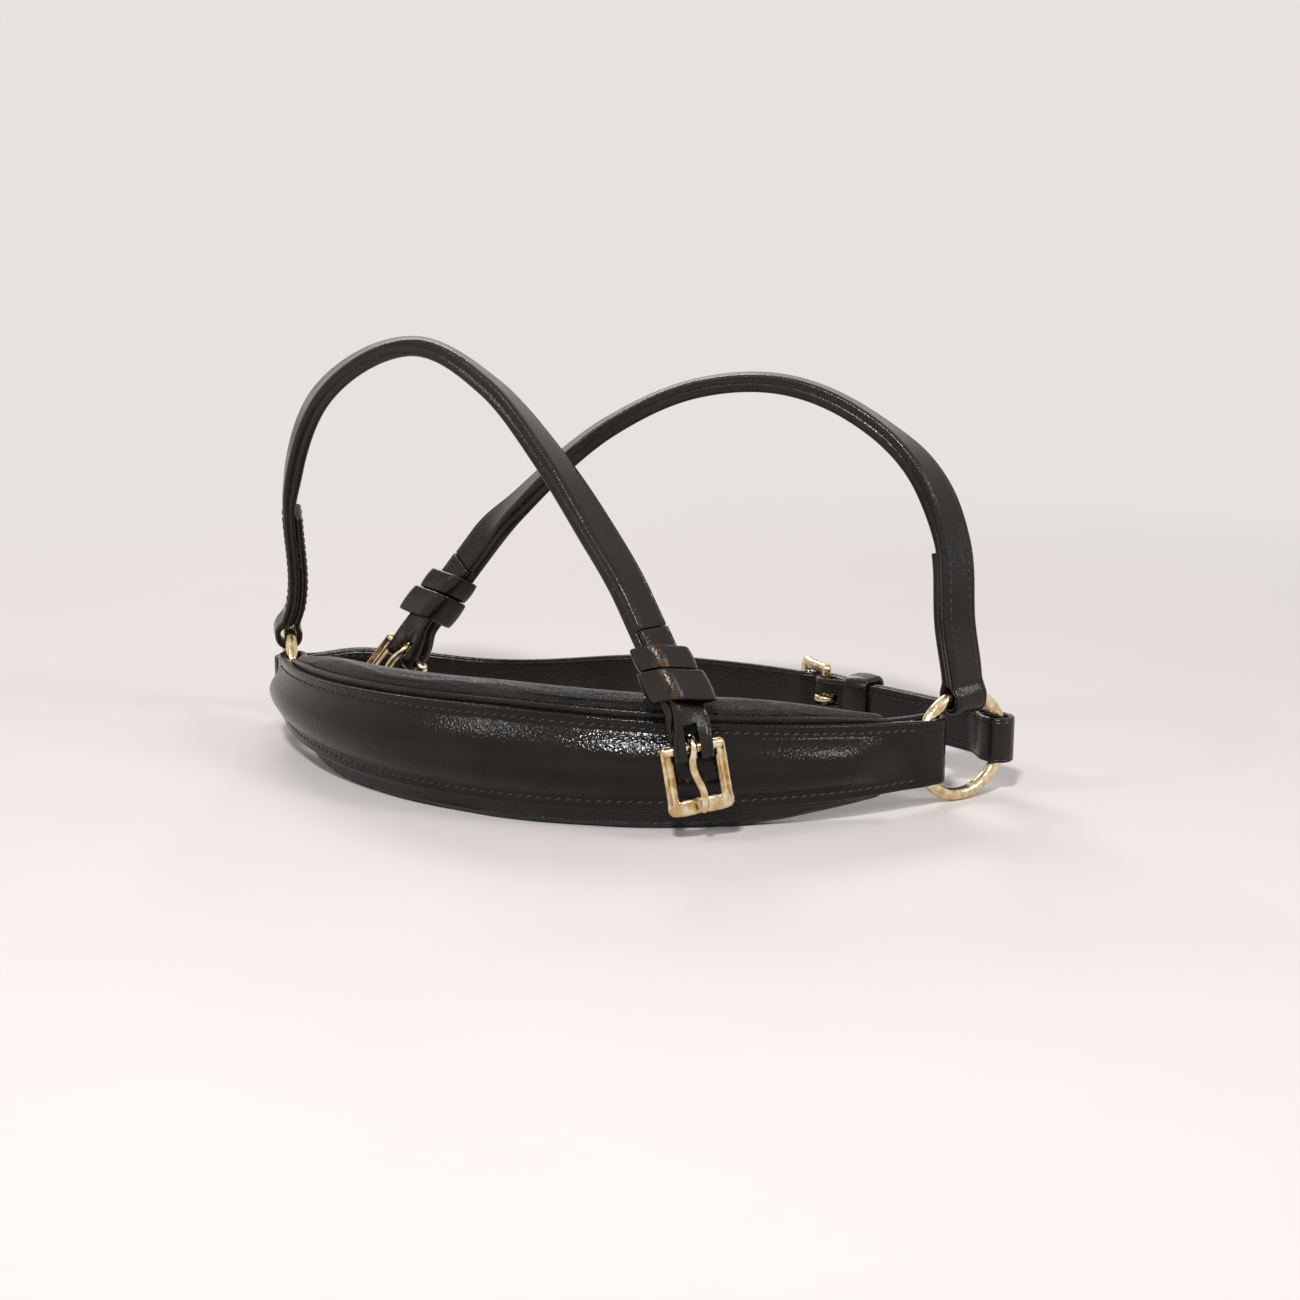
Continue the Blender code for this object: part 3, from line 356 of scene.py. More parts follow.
RING_HEIGHT = RING_RADIUS + WIRE_RADIUS
RING_WAY = Vector((math.cos(RING_PLANE), math.sin(RING_PLANE), 0.0))
NOSE_HALF_CHORD = NOSE_RADIUS * math.sin(NOSE_ANGLE)
RING_X = NOSE_HALF_CHORD + RING_WAY.x * RING_RADIUS
ring_low, ring_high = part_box("ring_right")
SHIFT = Vector((0.0, 0.5 * (ring_low.y + ring_high.y) - RING_WAY.y * RING_RADIUS, 0.0))
RING_Y = RING_WAY.y * RING_RADIUS + SHIFT.y
CHIN_HALF_CHORD = NOSE_HALF_CHORD + 2.0 * RING_WAY.x * RING_RADIUS
CHIN_ENDS_Y = 2.0 * RING_WAY.y * RING_RADIUS + SHIFT.y
CHIN_RADIUS = (CHIN_HALF_CHORD ** 2 + CHIN_SAGITTA ** 2) / (2.0 * CHIN_SAGITTA)
CHIN_ANGLE = math.asin(CHIN_HALF_CHORD / CHIN_RADIUS)
CHIN = Arc(CHIN_RADIUS, CHIN_ANGLE, Vector((0.0, CHIN_ENDS_Y + CHIN_SAGITTA - CHIN_RADIUS, 0.0)), 1.0)
NOSE = Arc(NOSE_RADIUS, NOSE_ANGLE, Vector((0.0, NOSE_RADIUS * math.cos(NOSE_ANGLE), 0.0)) + SHIFT, -1.0)
FRONT_WRAP = WIRE_RADIUS + WIRE_FIT + 0.5 * FRONT_THICKNESS
FRONT_OUT = 0.5 * BACKING_THICKNESS + GAP + 0.5 * FRONT_THICKNESS
LINING_FACE = -0.5 * BACKING_THICKNESS - SEWN_GAP
CHIN_LAYER = 0.5 * (CHIN_THICKNESS + GAP)


def placed(name, data):
    obj = bpy.data.objects.new(name, data)
    bpy.context.scene.collection.objects.link(obj)
    return obj


def applied(obj):
    # The object's mesh with its modifiers applied; the object is left without them
    bpy.context.view_layer.update()
    mesh = bpy.data.meshes.new_from_object(obj.evaluated_get(bpy.context.evaluated_depsgraph_get()))
    obj.modifiers.clear()
    return mesh


def finish(obj, body, node):
    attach(obj, body)
    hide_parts(node)


def loft(name, sections, mat, closed=False, along=None, edge=None, sharp=50.0):
    # A piece through its sections, with the strip's own coordinates and the share of cut edge at each point
    count = len(sections[0])
    points = [tuple(p) for section in sections for p in section]
    faces = []
    for i in range(len(sections) if closed else len(sections) - 1):
        a, b = i * count, ((i + 1) % len(sections)) * count
        faces += [(a + j, a + (j + 1) % count, b + (j + 1) % count, b + j) for j in range(count)]
    if not closed:
        faces += [tuple(range(count - 1, -1, -1)), tuple(range(len(points) - count, len(points)))]
    mesh = bpy.data.meshes.new(name)
    mesh.from_pydata(points, [], faces)
    mesh.update()
    mesh.calc_loop_triangles()
    a, b, c = np.moveaxis(np.array(points)[np.array([t.vertices for t in mesh.loop_triangles])], 1, 0)
    if np.einsum("ij,ij->i", a, np.cross(b, c)).sum() < 0.0:
        mesh.flip_normals()
    if edge is not None:
        set_share(mesh, "cut_edge", edge)
    if along is not None:
        verts = np.empty(len(mesh.loops), np.int64)
        mesh.loops.foreach_get("vertex_index", verts)
        layer = mesh.uv_layers.new(name="strap")
        layer.data.foreach_set("uv", np.array(along, np.float32)[verts].ravel())
    mesh.materials.append(mat)
    mesh.shade_smooth()
    mesh.set_sharp_from_angle(angle=math.radians(sharp))
    return placed(name, mesh)


def set_share(mesh, name, values):
    mesh.attributes.new(name, "FLOAT", "POINT").data.foreach_set("value", np.array(values, np.float32))


def strap_outline(thick, width, corner, crease, seam=0.00018):
    # The outline of a creased strap; each point is depth, width and share of cut edge
    half_a = 0.5 * thick
    half_w = 0.5 * width
    corner = min(corner, 0.8 * half_a)
    mid = min(0.00035, 0.5 * (half_a - corner))
    quarter = [(0.0, half_w - seam, 1.0), (mid, half_w, 1.0), (half_a - corner, half_w, 1.0)]
    for i in range(1, 6):
        turn = math.radians(18.0 * i)
        quarter.append((half_a - corner + corner * math.sin(turn), half_w - corner + corner * math.cos(turn),
                        1.0 - i / 5.0))
    dips = ((CREASE_INSET - 0.0003, 0.0), (CREASE_INSET, CREASE_DEPTH * crease), (CREASE_INSET + 0.0003, 0.0),
            (0.0024, 0.0), (0.0042, 0.0))
    face = [(half_a - dip, half_w - inset, 0.0) for inset, dip in dips]
    top = quarter + face + [(half_a, 0.0, 0.0)] + [(a, -w, e) for a, w, e in reversed(quarter + face)]
    return top + [(-a, w, e) for a, w, e in reversed(top[1:-1])]


def strip(name, place, stations, width_at, corner):
    # A leather strip: each station is u, n, thickness and the direction of its face in u and n
    sections, along, edge = [], [], []
    run = 0.0
    before = place(*stations[0][:2], 0.0)
    for u, n, thickness, du, dn in stations:
        outline = strap_outline(thickness, width_at(u), corner, 1.0)
        sections.append([place(u + a * du, n + a * dn, w) for a, w, _ in outline])
        spot = place(u, n, 0.0)
        run += (spot - before).length
        before = spot
        along += [(run, w if a > 0.0 else 0.1 + w) for a, w, _ in outline]
        edge += [cut for _, _, cut in outline]
    count = len(outline)
    edge[:count] = edge[-count:] = [RAW_END] * count
    return loft(name, sections, STRAP_LEATHER, along=along, edge=edge)


def wire_drop(half_width):
    return RING_RADIUS - math.sqrt(RING_RADIUS ** 2 - half_width ** 2)


def wrap(stations, centre, reach, thickness, end, side, level=0.0):
    # Half a turn round a wire or a bar; end is -1 at the strip's start and 1 at its end
    for turn in [math.pi * i / 18.0 for i in range(1, 18)]:
        stations.append((centre + end * reach * math.sin(turn), level + side * reach * math.cos(turn), thickness,
                         side * math.sin(turn), end * math.cos(turn)))


def cut_box(obj, matrix, low, high):
    # Cuts a slot through a strap
    corners = [Vector((x, y, z)) for x in (low[0], high[0]) for y in (low[1], high[1]) for z in (low[2], high[2])]
    faces = [(0, 1, 3, 2), (4, 6, 7, 5), (0, 4, 5, 1), (2, 3, 7, 6), (0, 2, 6, 4), (1, 5, 7, 3)]
    mesh = bpy.data.meshes.new("slot")
    mesh.from_pydata([tuple(matrix @ c) for c in corners], [], faces)
    work = bmesh.new()
    work.from_mesh(mesh)
    bmesh.ops.recalc_face_normals(work, faces=work.faces)
    work.to_mesh(mesh)
    work.free()
    cutter = placed("slot", mesh)
    change = obj.modifiers.new("slot", "BOOLEAN")
    change.operation = "DIFFERENCE"
    change.solver = "EXACT"
    change.object = cutter
    obj.data = applied(obj)
    obj.data.set_sharp_from_angle(angle=math.radians(50.0))
    bpy.data.objects.remove(cutter)


def sweep(name, points, radii, up, closed=False, sides=20):
    # A brass wire along a smooth line of points, with a radius for each; up is the first point's normal
    last = len(points) - 1
    sections = []
    for i, (spot, radius) in enumerate(zip(points, radii)):
        ahead = points[0 if closed and i == last else min(last, i + 1)]
        behind = points[i - 1] if closed or i > 0 else spot
        way = (ahead - behind).normalized()
        up = (up - way * up.dot(way)).normalized()
        side = way.cross(up)
        turns = [2.0 * math.pi * j / sides for j in range(sides)]
        sections.append([spot + up * (radius * math.sin(t)) + side * (radius * math.cos(t)) for t in turns])
    return loft(name, sections, BRASS, closed=closed)


def smooth_line(points, step):
    # A denser smooth line through given points
    result = []
    for a, b, c, d in zip([points[0]] + points[:-2], points, points[1:], points[2:] + [points[-1]]):
        parts = max(1, round((c - b).length / step))
        for t in [j / parts for j in range(parts)]:
            result.append(0.5 * (2 * b + (c - a) * t + (2 * a - 5 * b + 4 * c - d) * t ** 2
                                 + (3 * b - a - 3 * c + d) * t ** 3))
    return result + [points[-1]]


# ---------------------------------------------------------------- finishes

def surface(name, colour, roughness, metallic=0.0):
    # An empty finish: its tree, its shader and its Object coordinates in metres
    mat = bpy.data.materials.new(name)
    mat.use_nodes = True
    tree = mat.node_tree
    shader = tree.nodes["Principled BSDF"]
    shader.inputs["Base Color"].default_value = srgb(colour)
    shader.inputs["Roughness"].default_value = roughness
    shader.inputs["Metallic"].default_value = metallic
    return mat, tree, shader, add(tree, "ShaderNodeTexCoord").outputs["Object"]


def calc(tree, operation, first, second):
    return add(tree, "ShaderNodeMath", {0: first, 1: second}, operation=operation).outputs[0]


def band(tree, value, low, high, low_to=0.0, high_to=1.0):
    return add(tree, "ShaderNodeMapRange", {
        "Value": value, "From Min": low, "From Max": high, "To Min": low_to, "To Max": high_to,
    }).outputs["Result"]


def two_tone(tree, share, low, high):
    # A blend of two colours, each a hex code or another blend
    tones = {at: srgb(tone) if isinstance(tone, str) else tone for at, tone in ((6, low), (7, high))}
    return add(tree, "ShaderNodeMix", {"Factor": share, **tones}, data_type="RGBA").outputs[2]


def noise(tree, place, size, detail=2.0, rough=0.5):
    return add(tree, "ShaderNodeTexNoise", {
        "Vector": place, "Scale": 1.0 / size, "Detail": detail, "Roughness": rough,
    }).outputs["Fac"]


def cells(tree, place, size, feature="F1", **more):
    return add(tree, "ShaderNodeTexVoronoi", {
        "Vector": place, "Scale": 1.0 / size, **more,
    }, feature=feature).outputs["Distance"]


def wire(tree, shader, **values):
    # Links outputs to, or sets numbers on, the shader's sockets, named with underscores
    for name, value in values.items():
        socket = shader.inputs[name.replace("_", " ")]
        if isinstance(value, bpy.types.NodeSocket):
            tree.links.new(value, socket)
        else:
            socket.default_value = value


def relief(tree, height, strength, distance):
    return add(tree, "ShaderNodeBump", {
        "Height": height, "Strength": strength, "Distance": distance,
    }).outputs["Normal"]


def bridle_leather(name, grain, pebble_size, polish, sheen, wax):
    # Drum-dyed black bridle leather, waxed and pressed: a deep brown-black with a fine pebble that breaks the
    # highlight into sparks, hand-rubbed patches that shine more, and painted cut edges that wear through to tan
    mat, tree, shader, place = surface(name, "#130f0a", 0.30)
    cloud = noise(tree, place, 0.018, 4.0)
    marks = noise(tree, place, 0.0025, 6.0, 0.7)
    cut = add(tree, "ShaderNodeAttribute", attribute_name="cut_edge").outputs["Fac"]
    rubbed = add(tree, "ShaderNodeAttribute", attribute_name="rubbed").outputs["Fac"]
    worn = calc(tree, "MULTIPLY", band(tree, marks, 0.56, 0.70), band(tree, cut, 0.15, 0.55, 0.0, 0.35))
    bare = calc(tree, "MULTIPLY", band(tree, marks, 0.42, 0.62), rubbed)
    dyed = two_tone(tree, band(tree, cloud, 0.35, 0.68), "#0f0c08", "#1a140e")
    rough = calc(tree, "SUBTRACT", band(tree, marks, 0.3, 0.8, polish, polish + 0.15),
                 band(tree, cloud, 0.40, 0.65, 0.0, 0.06))
    pores = band(tree, noise(tree, place, 0.0005, 3.0), 0.0, 1.0, 0.0, 0.4)
    height = calc(tree, "ADD", cells(tree, place, pebble_size, "SMOOTH_F1", Smoothness=0.5), pores)
    normal = relief(tree, height, grain, 0.00022)
    wire(tree, shader, Base_Color=two_tone(tree, calc(tree, "MAXIMUM", worn, bare), dyed, "#553c24"),
         Roughness=calc(tree, "ADD", rough, band(tree, cut, 1.0, RAW_END, 0.0, 0.55)),
         Specular_IOR_Level=band(tree, cut, 1.0, RAW_END, sheen, 0.05), Normal=normal,
         Coat_Normal=normal, Coat_Weight=wax, Coat_Roughness=0.10)
    return mat


def lining_leather():
    # Soft nappa over foam: matt black, with fine crowded wrinkles that run across the roll
    mat, tree, shader, place = surface("lining_nappa", "#15110c", 0.42)
    drift = noise(tree, place, 0.0022, 5.0, 0.62)
    cloud = noise(tree, place, 0.02, 3.0)
    crease = band(tree, cells(tree, place, 0.0011, "DISTANCE_TO_EDGE"), 0.0, 0.22)
    wire(tree, shader, Base_Color=two_tone(tree, band(tree, cloud, 0.35, 0.7), "#110e0b", "#1d1712"),
         Roughness=band(tree, drift, 0.3, 0.7, 0.36, 0.52), Specular_IOR_Level=0.42,
         Normal=relief(tree, calc(tree, "ADD", crease, drift), 0.55, 0.00026),
         Sheen_Weight=0.06, Sheen_Roughness=0.5)
    return mat


def cast_brass():
    # Pale cast brass, tumbled and hand polished: soft highlights, faint waves and darker hollows
    mat, tree, shader, place = surface("cast_brass", "#e1cda8", 0.20, 1.0)
    wave = noise(tree, place, 0.003, 3.0)
    wear = noise(tree, place, 0.0012, 5.0, 0.7)
    wire(tree, shader, Base_Color=two_tone(tree, band(tree, wave, 0.35, 0.7), "#c7ab78", "#f7ead0"),
         Roughness=band(tree, wear, 0.3, 0.75, 0.10, 0.32), Normal=relief(tree, wave, 0.45, 0.0006))
    return mat


def waxed_thread():
    # Twisted and waxed black linen thread: matt, with the twist as fine ridges
    mat, tree, shader, place = surface("waxed_thread", "#221d18", 0.40)
    twist = noise(tree, place, 0.0003)
    wire(tree, shader, Base_Color=two_tone(tree, twist, "#181410", "#322b24"), Normal=relief(tree, twist, 0.4, 0.0001))
    return mat


def painted_hole_shade():
    # A flat near-black disc under each stitch: painted shade for the dark inside of the awl hole, which is not cut
    mat, tree, shader, place = surface("painted_hole_shade", "#070606", 0.8)
    wire(tree, shader, Base_Color=two_tone(tree, noise(tree, place, 0.0006), "#050505", "#0c0a0a"))
    return mat


def sponge_foam():
    # Open-cell foam inside the lining and under the raised crown
    mat, tree, shader, place = surface("sponge_foam", "#8f8c86", 0.9)
    cell = cells(tree, place, 0.0006)
    wire(tree, shader, Base_Color=two_tone(tree, cell, "#7d7a74", "#a09c95"), Normal=relief(tree, cell, 0.5, 0.0003))
    return mat


NOSE_LEATHER = bridle_leather("bridle_leather_nose", 0.52, 0.0009, polish=0.20, sheen=0.04, wax=0.40)
STRAP_LEATHER = bridle_leather("bridle_leather_strap", 0.35, 0.00065, polish=0.22, sheen=0.30, wax=0.10)
NAPPA = lining_leather()
BRASS = cast_brass()
THREAD = waxed_thread()
# The near-black finish of the painted shade discs under the stitches
HOLE_SHADE = painted_hole_shade()
FOAM = sponge_foam()


# ---------------------------------------------------------------- stitches

def stitch_tree():
    # Sets one slanted stitch at each pitch along a row, over a flat near-black disc of painted shade where the awl hole
    # would be; the row carries its outer direction
    tree = bpy.data.node_groups.new("stitch_row", "GeometryNodeTree")
    tree.interface.new_socket("Geometry", in_out="INPUT", socket_type="NodeSocketGeometry")
    for name, value in (("Pitch", 0.003), ("Length", 0.0022), ("Thread", 0.0006), ("Slant", 0.35), ("Hole", 0.0008)):
        tree.interface.new_socket(name, in_out="INPUT", socket_type="NodeSocketFloat").default_value = value
    tree.interface.new_socket("Geometry", in_out="OUTPUT", socket_type="NodeSocketGeometry")
    given = add(tree, "NodeGroupInput").outputs

    def node(kind, links=None, **settings):
        return add(tree, kind, links, **settings).outputs[0]

    curve = node("GeometryNodeMeshToCurve", {"Mesh": given["Geometry"]})
    rows = node("GeometryNodeResampleCurve", {"Curve": curve, "Length": given["Pitch"]}, mode="LENGTH")
    outward = add(tree, "GeometryNodeInputNamedAttribute", {"Name": "outward"}, data_type="FLOAT_VECTOR")
    turn = node("FunctionNodeAxesToRotation", {
        "Primary Axis": outward.outputs["Attribute"], "Secondary Axis": node("GeometryNodeInputTangent"),
    }, primary_axis="Z", secondary_axis="X")
    rows = node("GeometryNodeStoreNamedAttribute", {"Geometry": rows, "Name": "turn", "Value": turn},
                data_type="QUATERNION", domain="POINT")
    spots = node("GeometryNodeCurveToPoints", {"Curve": rows}, mode="EVALUATED")
    half_length = calc(tree, "MULTIPLY", given["Length"], 0.5)
    half_thread = calc(tree, "MULTIPLY", given["Thread"], 0.5)
    thread = node("GeometryNodeTransform", {
        "Geometry": node("GeometryNodeMeshUVSphere", {"Segments": 8, "Rings": 6, "Radius": 1.0}),
        "Rotation": node("ShaderNodeCombineXYZ", {"Z": given["Slant"]}),
        "Scale": node("ShaderNodeCombineXYZ", {"X": half_length, "Y": half_thread, "Z": half_thread}),
    })
    # The awl hole is not cut: a flat near-black disc just over the leather is painted shade in its place
    hole_shade = node("GeometryNodeTransform", {
        "Geometry": node("GeometryNodeMeshCircle", {"Vertices": 8, "Radius": given["Hole"]}, fill_type="NGON"),
        "Translation": node("ShaderNodeCombineXYZ", {"X": half_length, "Z": 0.00005}),
    })
    both = add(tree, "GeometryNodeJoinGeometry")
    for part, mat in ((thread, THREAD), (hole_shade, HOLE_SHADE)):
        tree.links.new(node("GeometryNodeSetMaterial", {"Geometry": part, "Material": mat}), both.inputs["Geometry"])
    facing = add(tree, "GeometryNodeInputNamedAttribute", {"Name": "turn"}, data_type="QUATERNION")
    set_out = node("GeometryNodeInstanceOnPoints", {
        "Points": spots, "Instance": both.outputs["Geometry"], "Rotation": facing.outputs["Attribute"],
    })
    real = node("GeometryNodeRealizeInstances", {"Geometry": set_out})
    add(tree, "NodeGroupOutput", {"Geometry": node("GeometryNodeSetShadeSmooth", {"Geometry": real})})
    return tree


STITCHES = stitch_tree()


def stitch_rows(name, rows, body, **values):
    # Each row is a list of points and their outer directions; values are the tree's inputs
    points = [pair for row in rows for pair in row]
    ends = list(np.cumsum([len(row) for row in rows]))
    edges = [(i, i + 1) for i in range(len(points)) if i + 1 not in ends]
    mesh = bpy.data.meshes.new(name)
    mesh.from_pydata([tuple(p) for p, _ in points], edges, [])
    layer = mesh.attributes.new("outward", "FLOAT_VECTOR", "POINT")
    layer.data.foreach_set("vector", np.array([tuple(o) for _, o in points], np.float32).ravel())
    holder = placed(name, mesh)
    change = holder.modifiers.new("stitches", "NODES")
    change.node_group = STITCHES
    for item in STITCHES.interface.items_tree:
        if item.in_out == "INPUT" and item.name in values:
            change[item.identifier] = values[item.name]
    result = applied(holder)
    bpy.data.objects.remove(holder)
    result.name = name
    obj = placed(name, result)
    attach(obj, body)


# ---------------------------------------------------------------- nose piece

def bulge(u):
    return 1.0 - abs(2.0 * u / NOSE.length - 1.0) ** NOSE_TAPER_POWER if 0.0 < u < NOSE.length else 0.0


def nose_middle(u):
    return RING_HEIGHT + NOSE_RISE * bulge(u)


def front_half(u):
    return mix(NOSE_END_HALF, NOSE_MID_HALF, bulge(u))


def crown(u):
    left = ease(u / CROWN_LEFT_FADE)
    right = ease((NOSE.length - u - CROWN_RIGHT_SETBACK) / CROWN_RIGHT_FADE)
    return CROWN_RISE * min(left, right)


def crown_at(u, z):
    # The raised middle starts steeply beside the stitches and is round on top
    reach = front_half(u) - mix(CROWN_END_MARGIN, CROWN_MARGIN, ease(u / (3.0 * CROWN_LEFT_FADE)))
    if abs(z) >= reach:
        return 0.0
    return crown(u) * (1.0 - (abs(z) / reach) ** 2.2) ** 1.15


def stitch_dip(u, z):
    # A shallow channel that the stitches lie in, and a crease between them and the edge
    from_edge = front_half(u) - abs(z)
    channel = 0.0003 * math.exp(-((from_edge - NOSE_STITCH_INSET) / 0.0006) ** 2)
    crease = 0.00016 * math.exp(-((from_edge - 0.0014) / 0.00025) ** 2)
    return channel + crease


def front_level(u):
    # The front's middle layer sinks from the wrap round the wire to the backing
    return mix(FRONT_WRAP, FRONT_OUT, ease(u / FRONT_SETTLE))


def nose_face(u, z):
    # A point of the front's outer face and its outer direction
    def spot(v, y):
        level = front_level(min(v, NOSE.length - v))
        return NOSE.place(v, level + 0.5 * FRONT_THICKNESS + crown_at(v, y) - stitch_dip(v, y), nose_middle(v) + y)

    here = spot(u, z)
    outer = (spot(u, z + 0.0002) - here).cross(spot(u + 0.0005, z) - here)
    if outer.dot(here - NOSE.place(u, 0.0, nose_middle(u))) < 0.0:
        outer = -outer
    return here, outer.normalized()


def build_nose_front():
    drop = wire_drop(NOSE_END_HALF)
    stations = [(u, -front_level(u), 0.0, -1.0) for u in spread(FRONT_LAP, -drop, NOSE_STEP)]
    for turn in [math.pi * i / 16.0 for i in range(1, 16)]:
        stations.append((-drop - FRONT_WRAP * math.sin(turn), -FRONT_WRAP * math.cos(turn),
                         -math.sin(turn), -math.cos(turn)))
    stations += [(u, front_level(u), 0.0, 1.0) for u in spread(-drop, 0.5 * NOSE.length, NOSE_STEP)]
    stations += [(NOSE.length - u, n, -du, dn) for u, n, du, dn in reversed(stations[:-1])]
    corner = 0.0009
    insets = (0.0009, 0.0011, 0.0014, 0.0017, 0.0021, 0.0025, 0.0028, 0.0030, 0.0032, 0.0035, 0.0039,
              0.0044, 0.0050, 0.0058, 0.0068, 0.0080)
    half_a = 0.5 * FRONT_THICKNESS
    sections, along, edge = [], [], []
    run = 0.0
    before = NOSE.place(*stations[0][:2], nose_middle(stations[0][0]))
    for u, n, du, dn in stations:
        half = front_half(u)
        levels = [half - inset for inset in insets] + [(half - insets[-1]) * share for share in (0.75, 0.5, 0.25)]
        levels += [0.0] + [-z for z in reversed(levels)]
        middle = NOSE.place(u, n, nose_middle(u))
        run += (middle - before).length
        before = middle
        outline = [(half_a + (crown_at(u, z) - stitch_dip(u, z) if dn > 0.99 else 0.0), z, 0.0) for z in levels]
        rim = []
        for turn in [math.radians(18.0 * i) for i in range(1, 10)]:
            a = (half_a - corner) * (1.0 if math.cos(turn) > 0.0 else -1.0) + corner * math.cos(turn)
            rim.append((a, half - corner + corner * math.sin(turn), math.sin(turn)))
        outline += [(a, -z, cut) for a, z, cut in rim]
        outline += [(-half_a, -(half - corner) * share, 0.0) for share in (1.0, 0.5, 0.0, -0.5, -1.0)] + rim[::-1]
        sections.append([NOSE.place(u + du * a, n + dn * a, nose_middle(u) + z) for a, z, _ in outline])
        along += [(run, z if a > 0.0 else 0.1 + z) for a, z, _ in outline]
        edge += [cut for _, _, cut in outline]
    front = loft("nose_front_leather", sections, NOSE_LEATHER, along=along, edge=edge)
    finish(front, "noseband", "nose_front")
    rows = [[nose_face(u, side * (front_half(u) - NOSE_STITCH_INSET))
             for u in spread(NOSE_STITCH_START, NOSE.length - NOSE_STITCH_START, 0.002)] for side in (1.0, -1.0)]
    stitch_rows("nose_front_stitches", rows, "noseband",
                Pitch=NOSE_STITCH_PITCH, Length=0.0024, Thread=0.0008, Slant=0.38, Hole=0.0008)


def build_nose_backing():
    sections, along = [], []
    for u in spread(BACKING_SETBACK, NOSE.length - BACKING_SETBACK, 0.002):
        half = front_half(u) + BACKING_MARGIN * ease(2.5 * bulge(u))
        outline = strap_outline(BACKING_THICKNESS, 2.0 * half, 0.0009, 0.0, 0.0)
        sections.append([NOSE.place(u, a, nose_middle(u) + z) for a, z, _ in outline])
        along += [(u, z) for _, z, _ in outline]
    finish(loft("nose_backing_leather", sections, STRAP_LEATHER, along=along), "noseband", "nose_backing")


def lining_half(u):
    return front_half(u) + mix(LINING_END_PROUD, LINING_PROUD, ease(1.6 * bulge(u)))


def lining_height(u, z):
    rest = nose_middle(0.5 * NOSE.length) - lining_half(0.5 * NOSE.length)
    return max(0.0, nose_middle(u) + z - rest - REST_CUT)


def lining_depth(u):
    near = min(u, NOSE.length - u) - LINING_SETBACK
    return LINING_DEPTH * mix(0.40, 1.0, ease(near / LINING_FADE))


def lining_profile(u, swell):
    # Half outline from the backing round the roll to the middle of the inner face, over a full soft shape
    half = lining_half(u) * swell
    depth = lining_depth(u)
    roll = min(0.5 * depth, 0.0042)
    points = [(LINING_FACE, half - 0.84 * roll), (LINING_FACE - 0.015 * depth, half - 0.70 * roll)]
    for turn in [math.radians(168.0 - 156.0 * i / 14.0) for i in range(1, 14)]:
        points.append((LINING_FACE - 0.5 * depth - 0.5 * depth * math.cos(turn), half - roll + roll * math.sin(turn)))
    return points + [(LINING_FACE - depth + 0.05 * depth * (1.0 - share), (half - 1.1 * roll) * share)
                     for share in (0.9, 0.78, 0.64, 0.48, 0.32, 0.16)]


SOFT_SKIN = {
    "quality": 6, "mass": 0.05, "tension_stiffness": 15.0, "compression_stiffness": 10.0, "shear_stiffness": 5.0,
    "bending_stiffness": 0.05, "use_pressure": True, "uniform_pressure_force": LINING_PRESSURE,
    "vertex_group_mass": "sewn", "shrink_min": -LINING_GROWTH,
}


def inflate(obj, held):
    # Blows a soft skin up as cloth over its fill, held where it is sewn, and adds one subdivision
    start = np.empty(3 * len(obj.data.vertices), np.float32)
    moved, out = np.empty_like(start), np.empty_like(start)
    obj.data.vertices.foreach_get("co", start)
    obj.data.vertices.foreach_get("normal", out)
    obj.vertex_groups.new(name="sewn").add(held, 1.0, "REPLACE")
    cloth = obj.modifiers.new("skin", "CLOTH")
    for name, value in SOFT_SKIN.items():
        setattr(cloth.settings, name, value)
    cloth.settings.effector_weights.gravity = 0.0
    for at in range(1, LINING_FRAMES + 1):
        bpy.context.scene.frame_set(at)
    blown = obj.evaluated_get(bpy.context.evaluated_depsgraph_get())
    blown.data.vertices.foreach_get("co", moved)
    step = (moved - start).reshape(-1, 3)
    out = out.reshape(-1, 3)
    step -= out * np.minimum(0.0, np.einsum("ij,ij->i", step, out) + LINING_SINK)[:, None]
    size = np.linalg.norm(step, axis=1, keepdims=True)
    step *= np.minimum(1.0, LINING_REACH / np.maximum(size, 1e-9))
    obj.modifiers.remove(cloth)
    obj.vertex_groups.clear()
    bpy.context.scene.frame_set(1)
    place = start.reshape(-1, 3) + step
    place[:, 2] = np.maximum(place[:, 2], 0.0)
    obj.data.vertices.foreach_set("co", place.astype(np.float32).ravel())
    obj.data.update()
    finer = obj.modifiers.new("finer", "SUBSURF")
    finer.levels = finer.render_levels = 1
    old = obj.data
    obj.data = applied(obj)
    bpy.data.meshes.remove(old)


def build_nose_lining():
    sections, along = [], []
    places = spread(LINING_SETBACK, NOSE.length - LINING_SETBACK, LINING_STEP)
    for u in places:
        near = min(u - places[0], places[-1] - u)
        swell = 1.0 - 0.06 * (1.0 - min(1.0, near / 0.004)) ** 2
        thin = 1.0 - 0.45 * (1.0 - min(1.0, near / 0.003)) ** 2
        outline = [(LINING_FACE + (n - LINING_FACE) * thin, z) for n, z in lining_profile(u, swell)]
        outline += [(n, -z) for n, z in reversed(outline)]
        sections.append([NOSE.place(u, n, lining_height(u, z)) for n, z in outline])
        along += [(u, z) for _, z in outline]
    lining = loft("nose_lining_roll", sections, NAPPA, along=along, sharp=80.0)
    count, rows = len(sections[0]), len(sections)
    held = [i * count + j for i in range(rows) for j in range(count)
            if j in (0, 1, count - 2, count - 1) or i in (0, 1, rows - 2, rows - 1)]
    inflate(lining, held)
    finish(lining, "noseband", "nose_lining")


build_nose_front()
build_nose_backing()
build_nose_lining()


# ---------------------------------------------------------------- rings

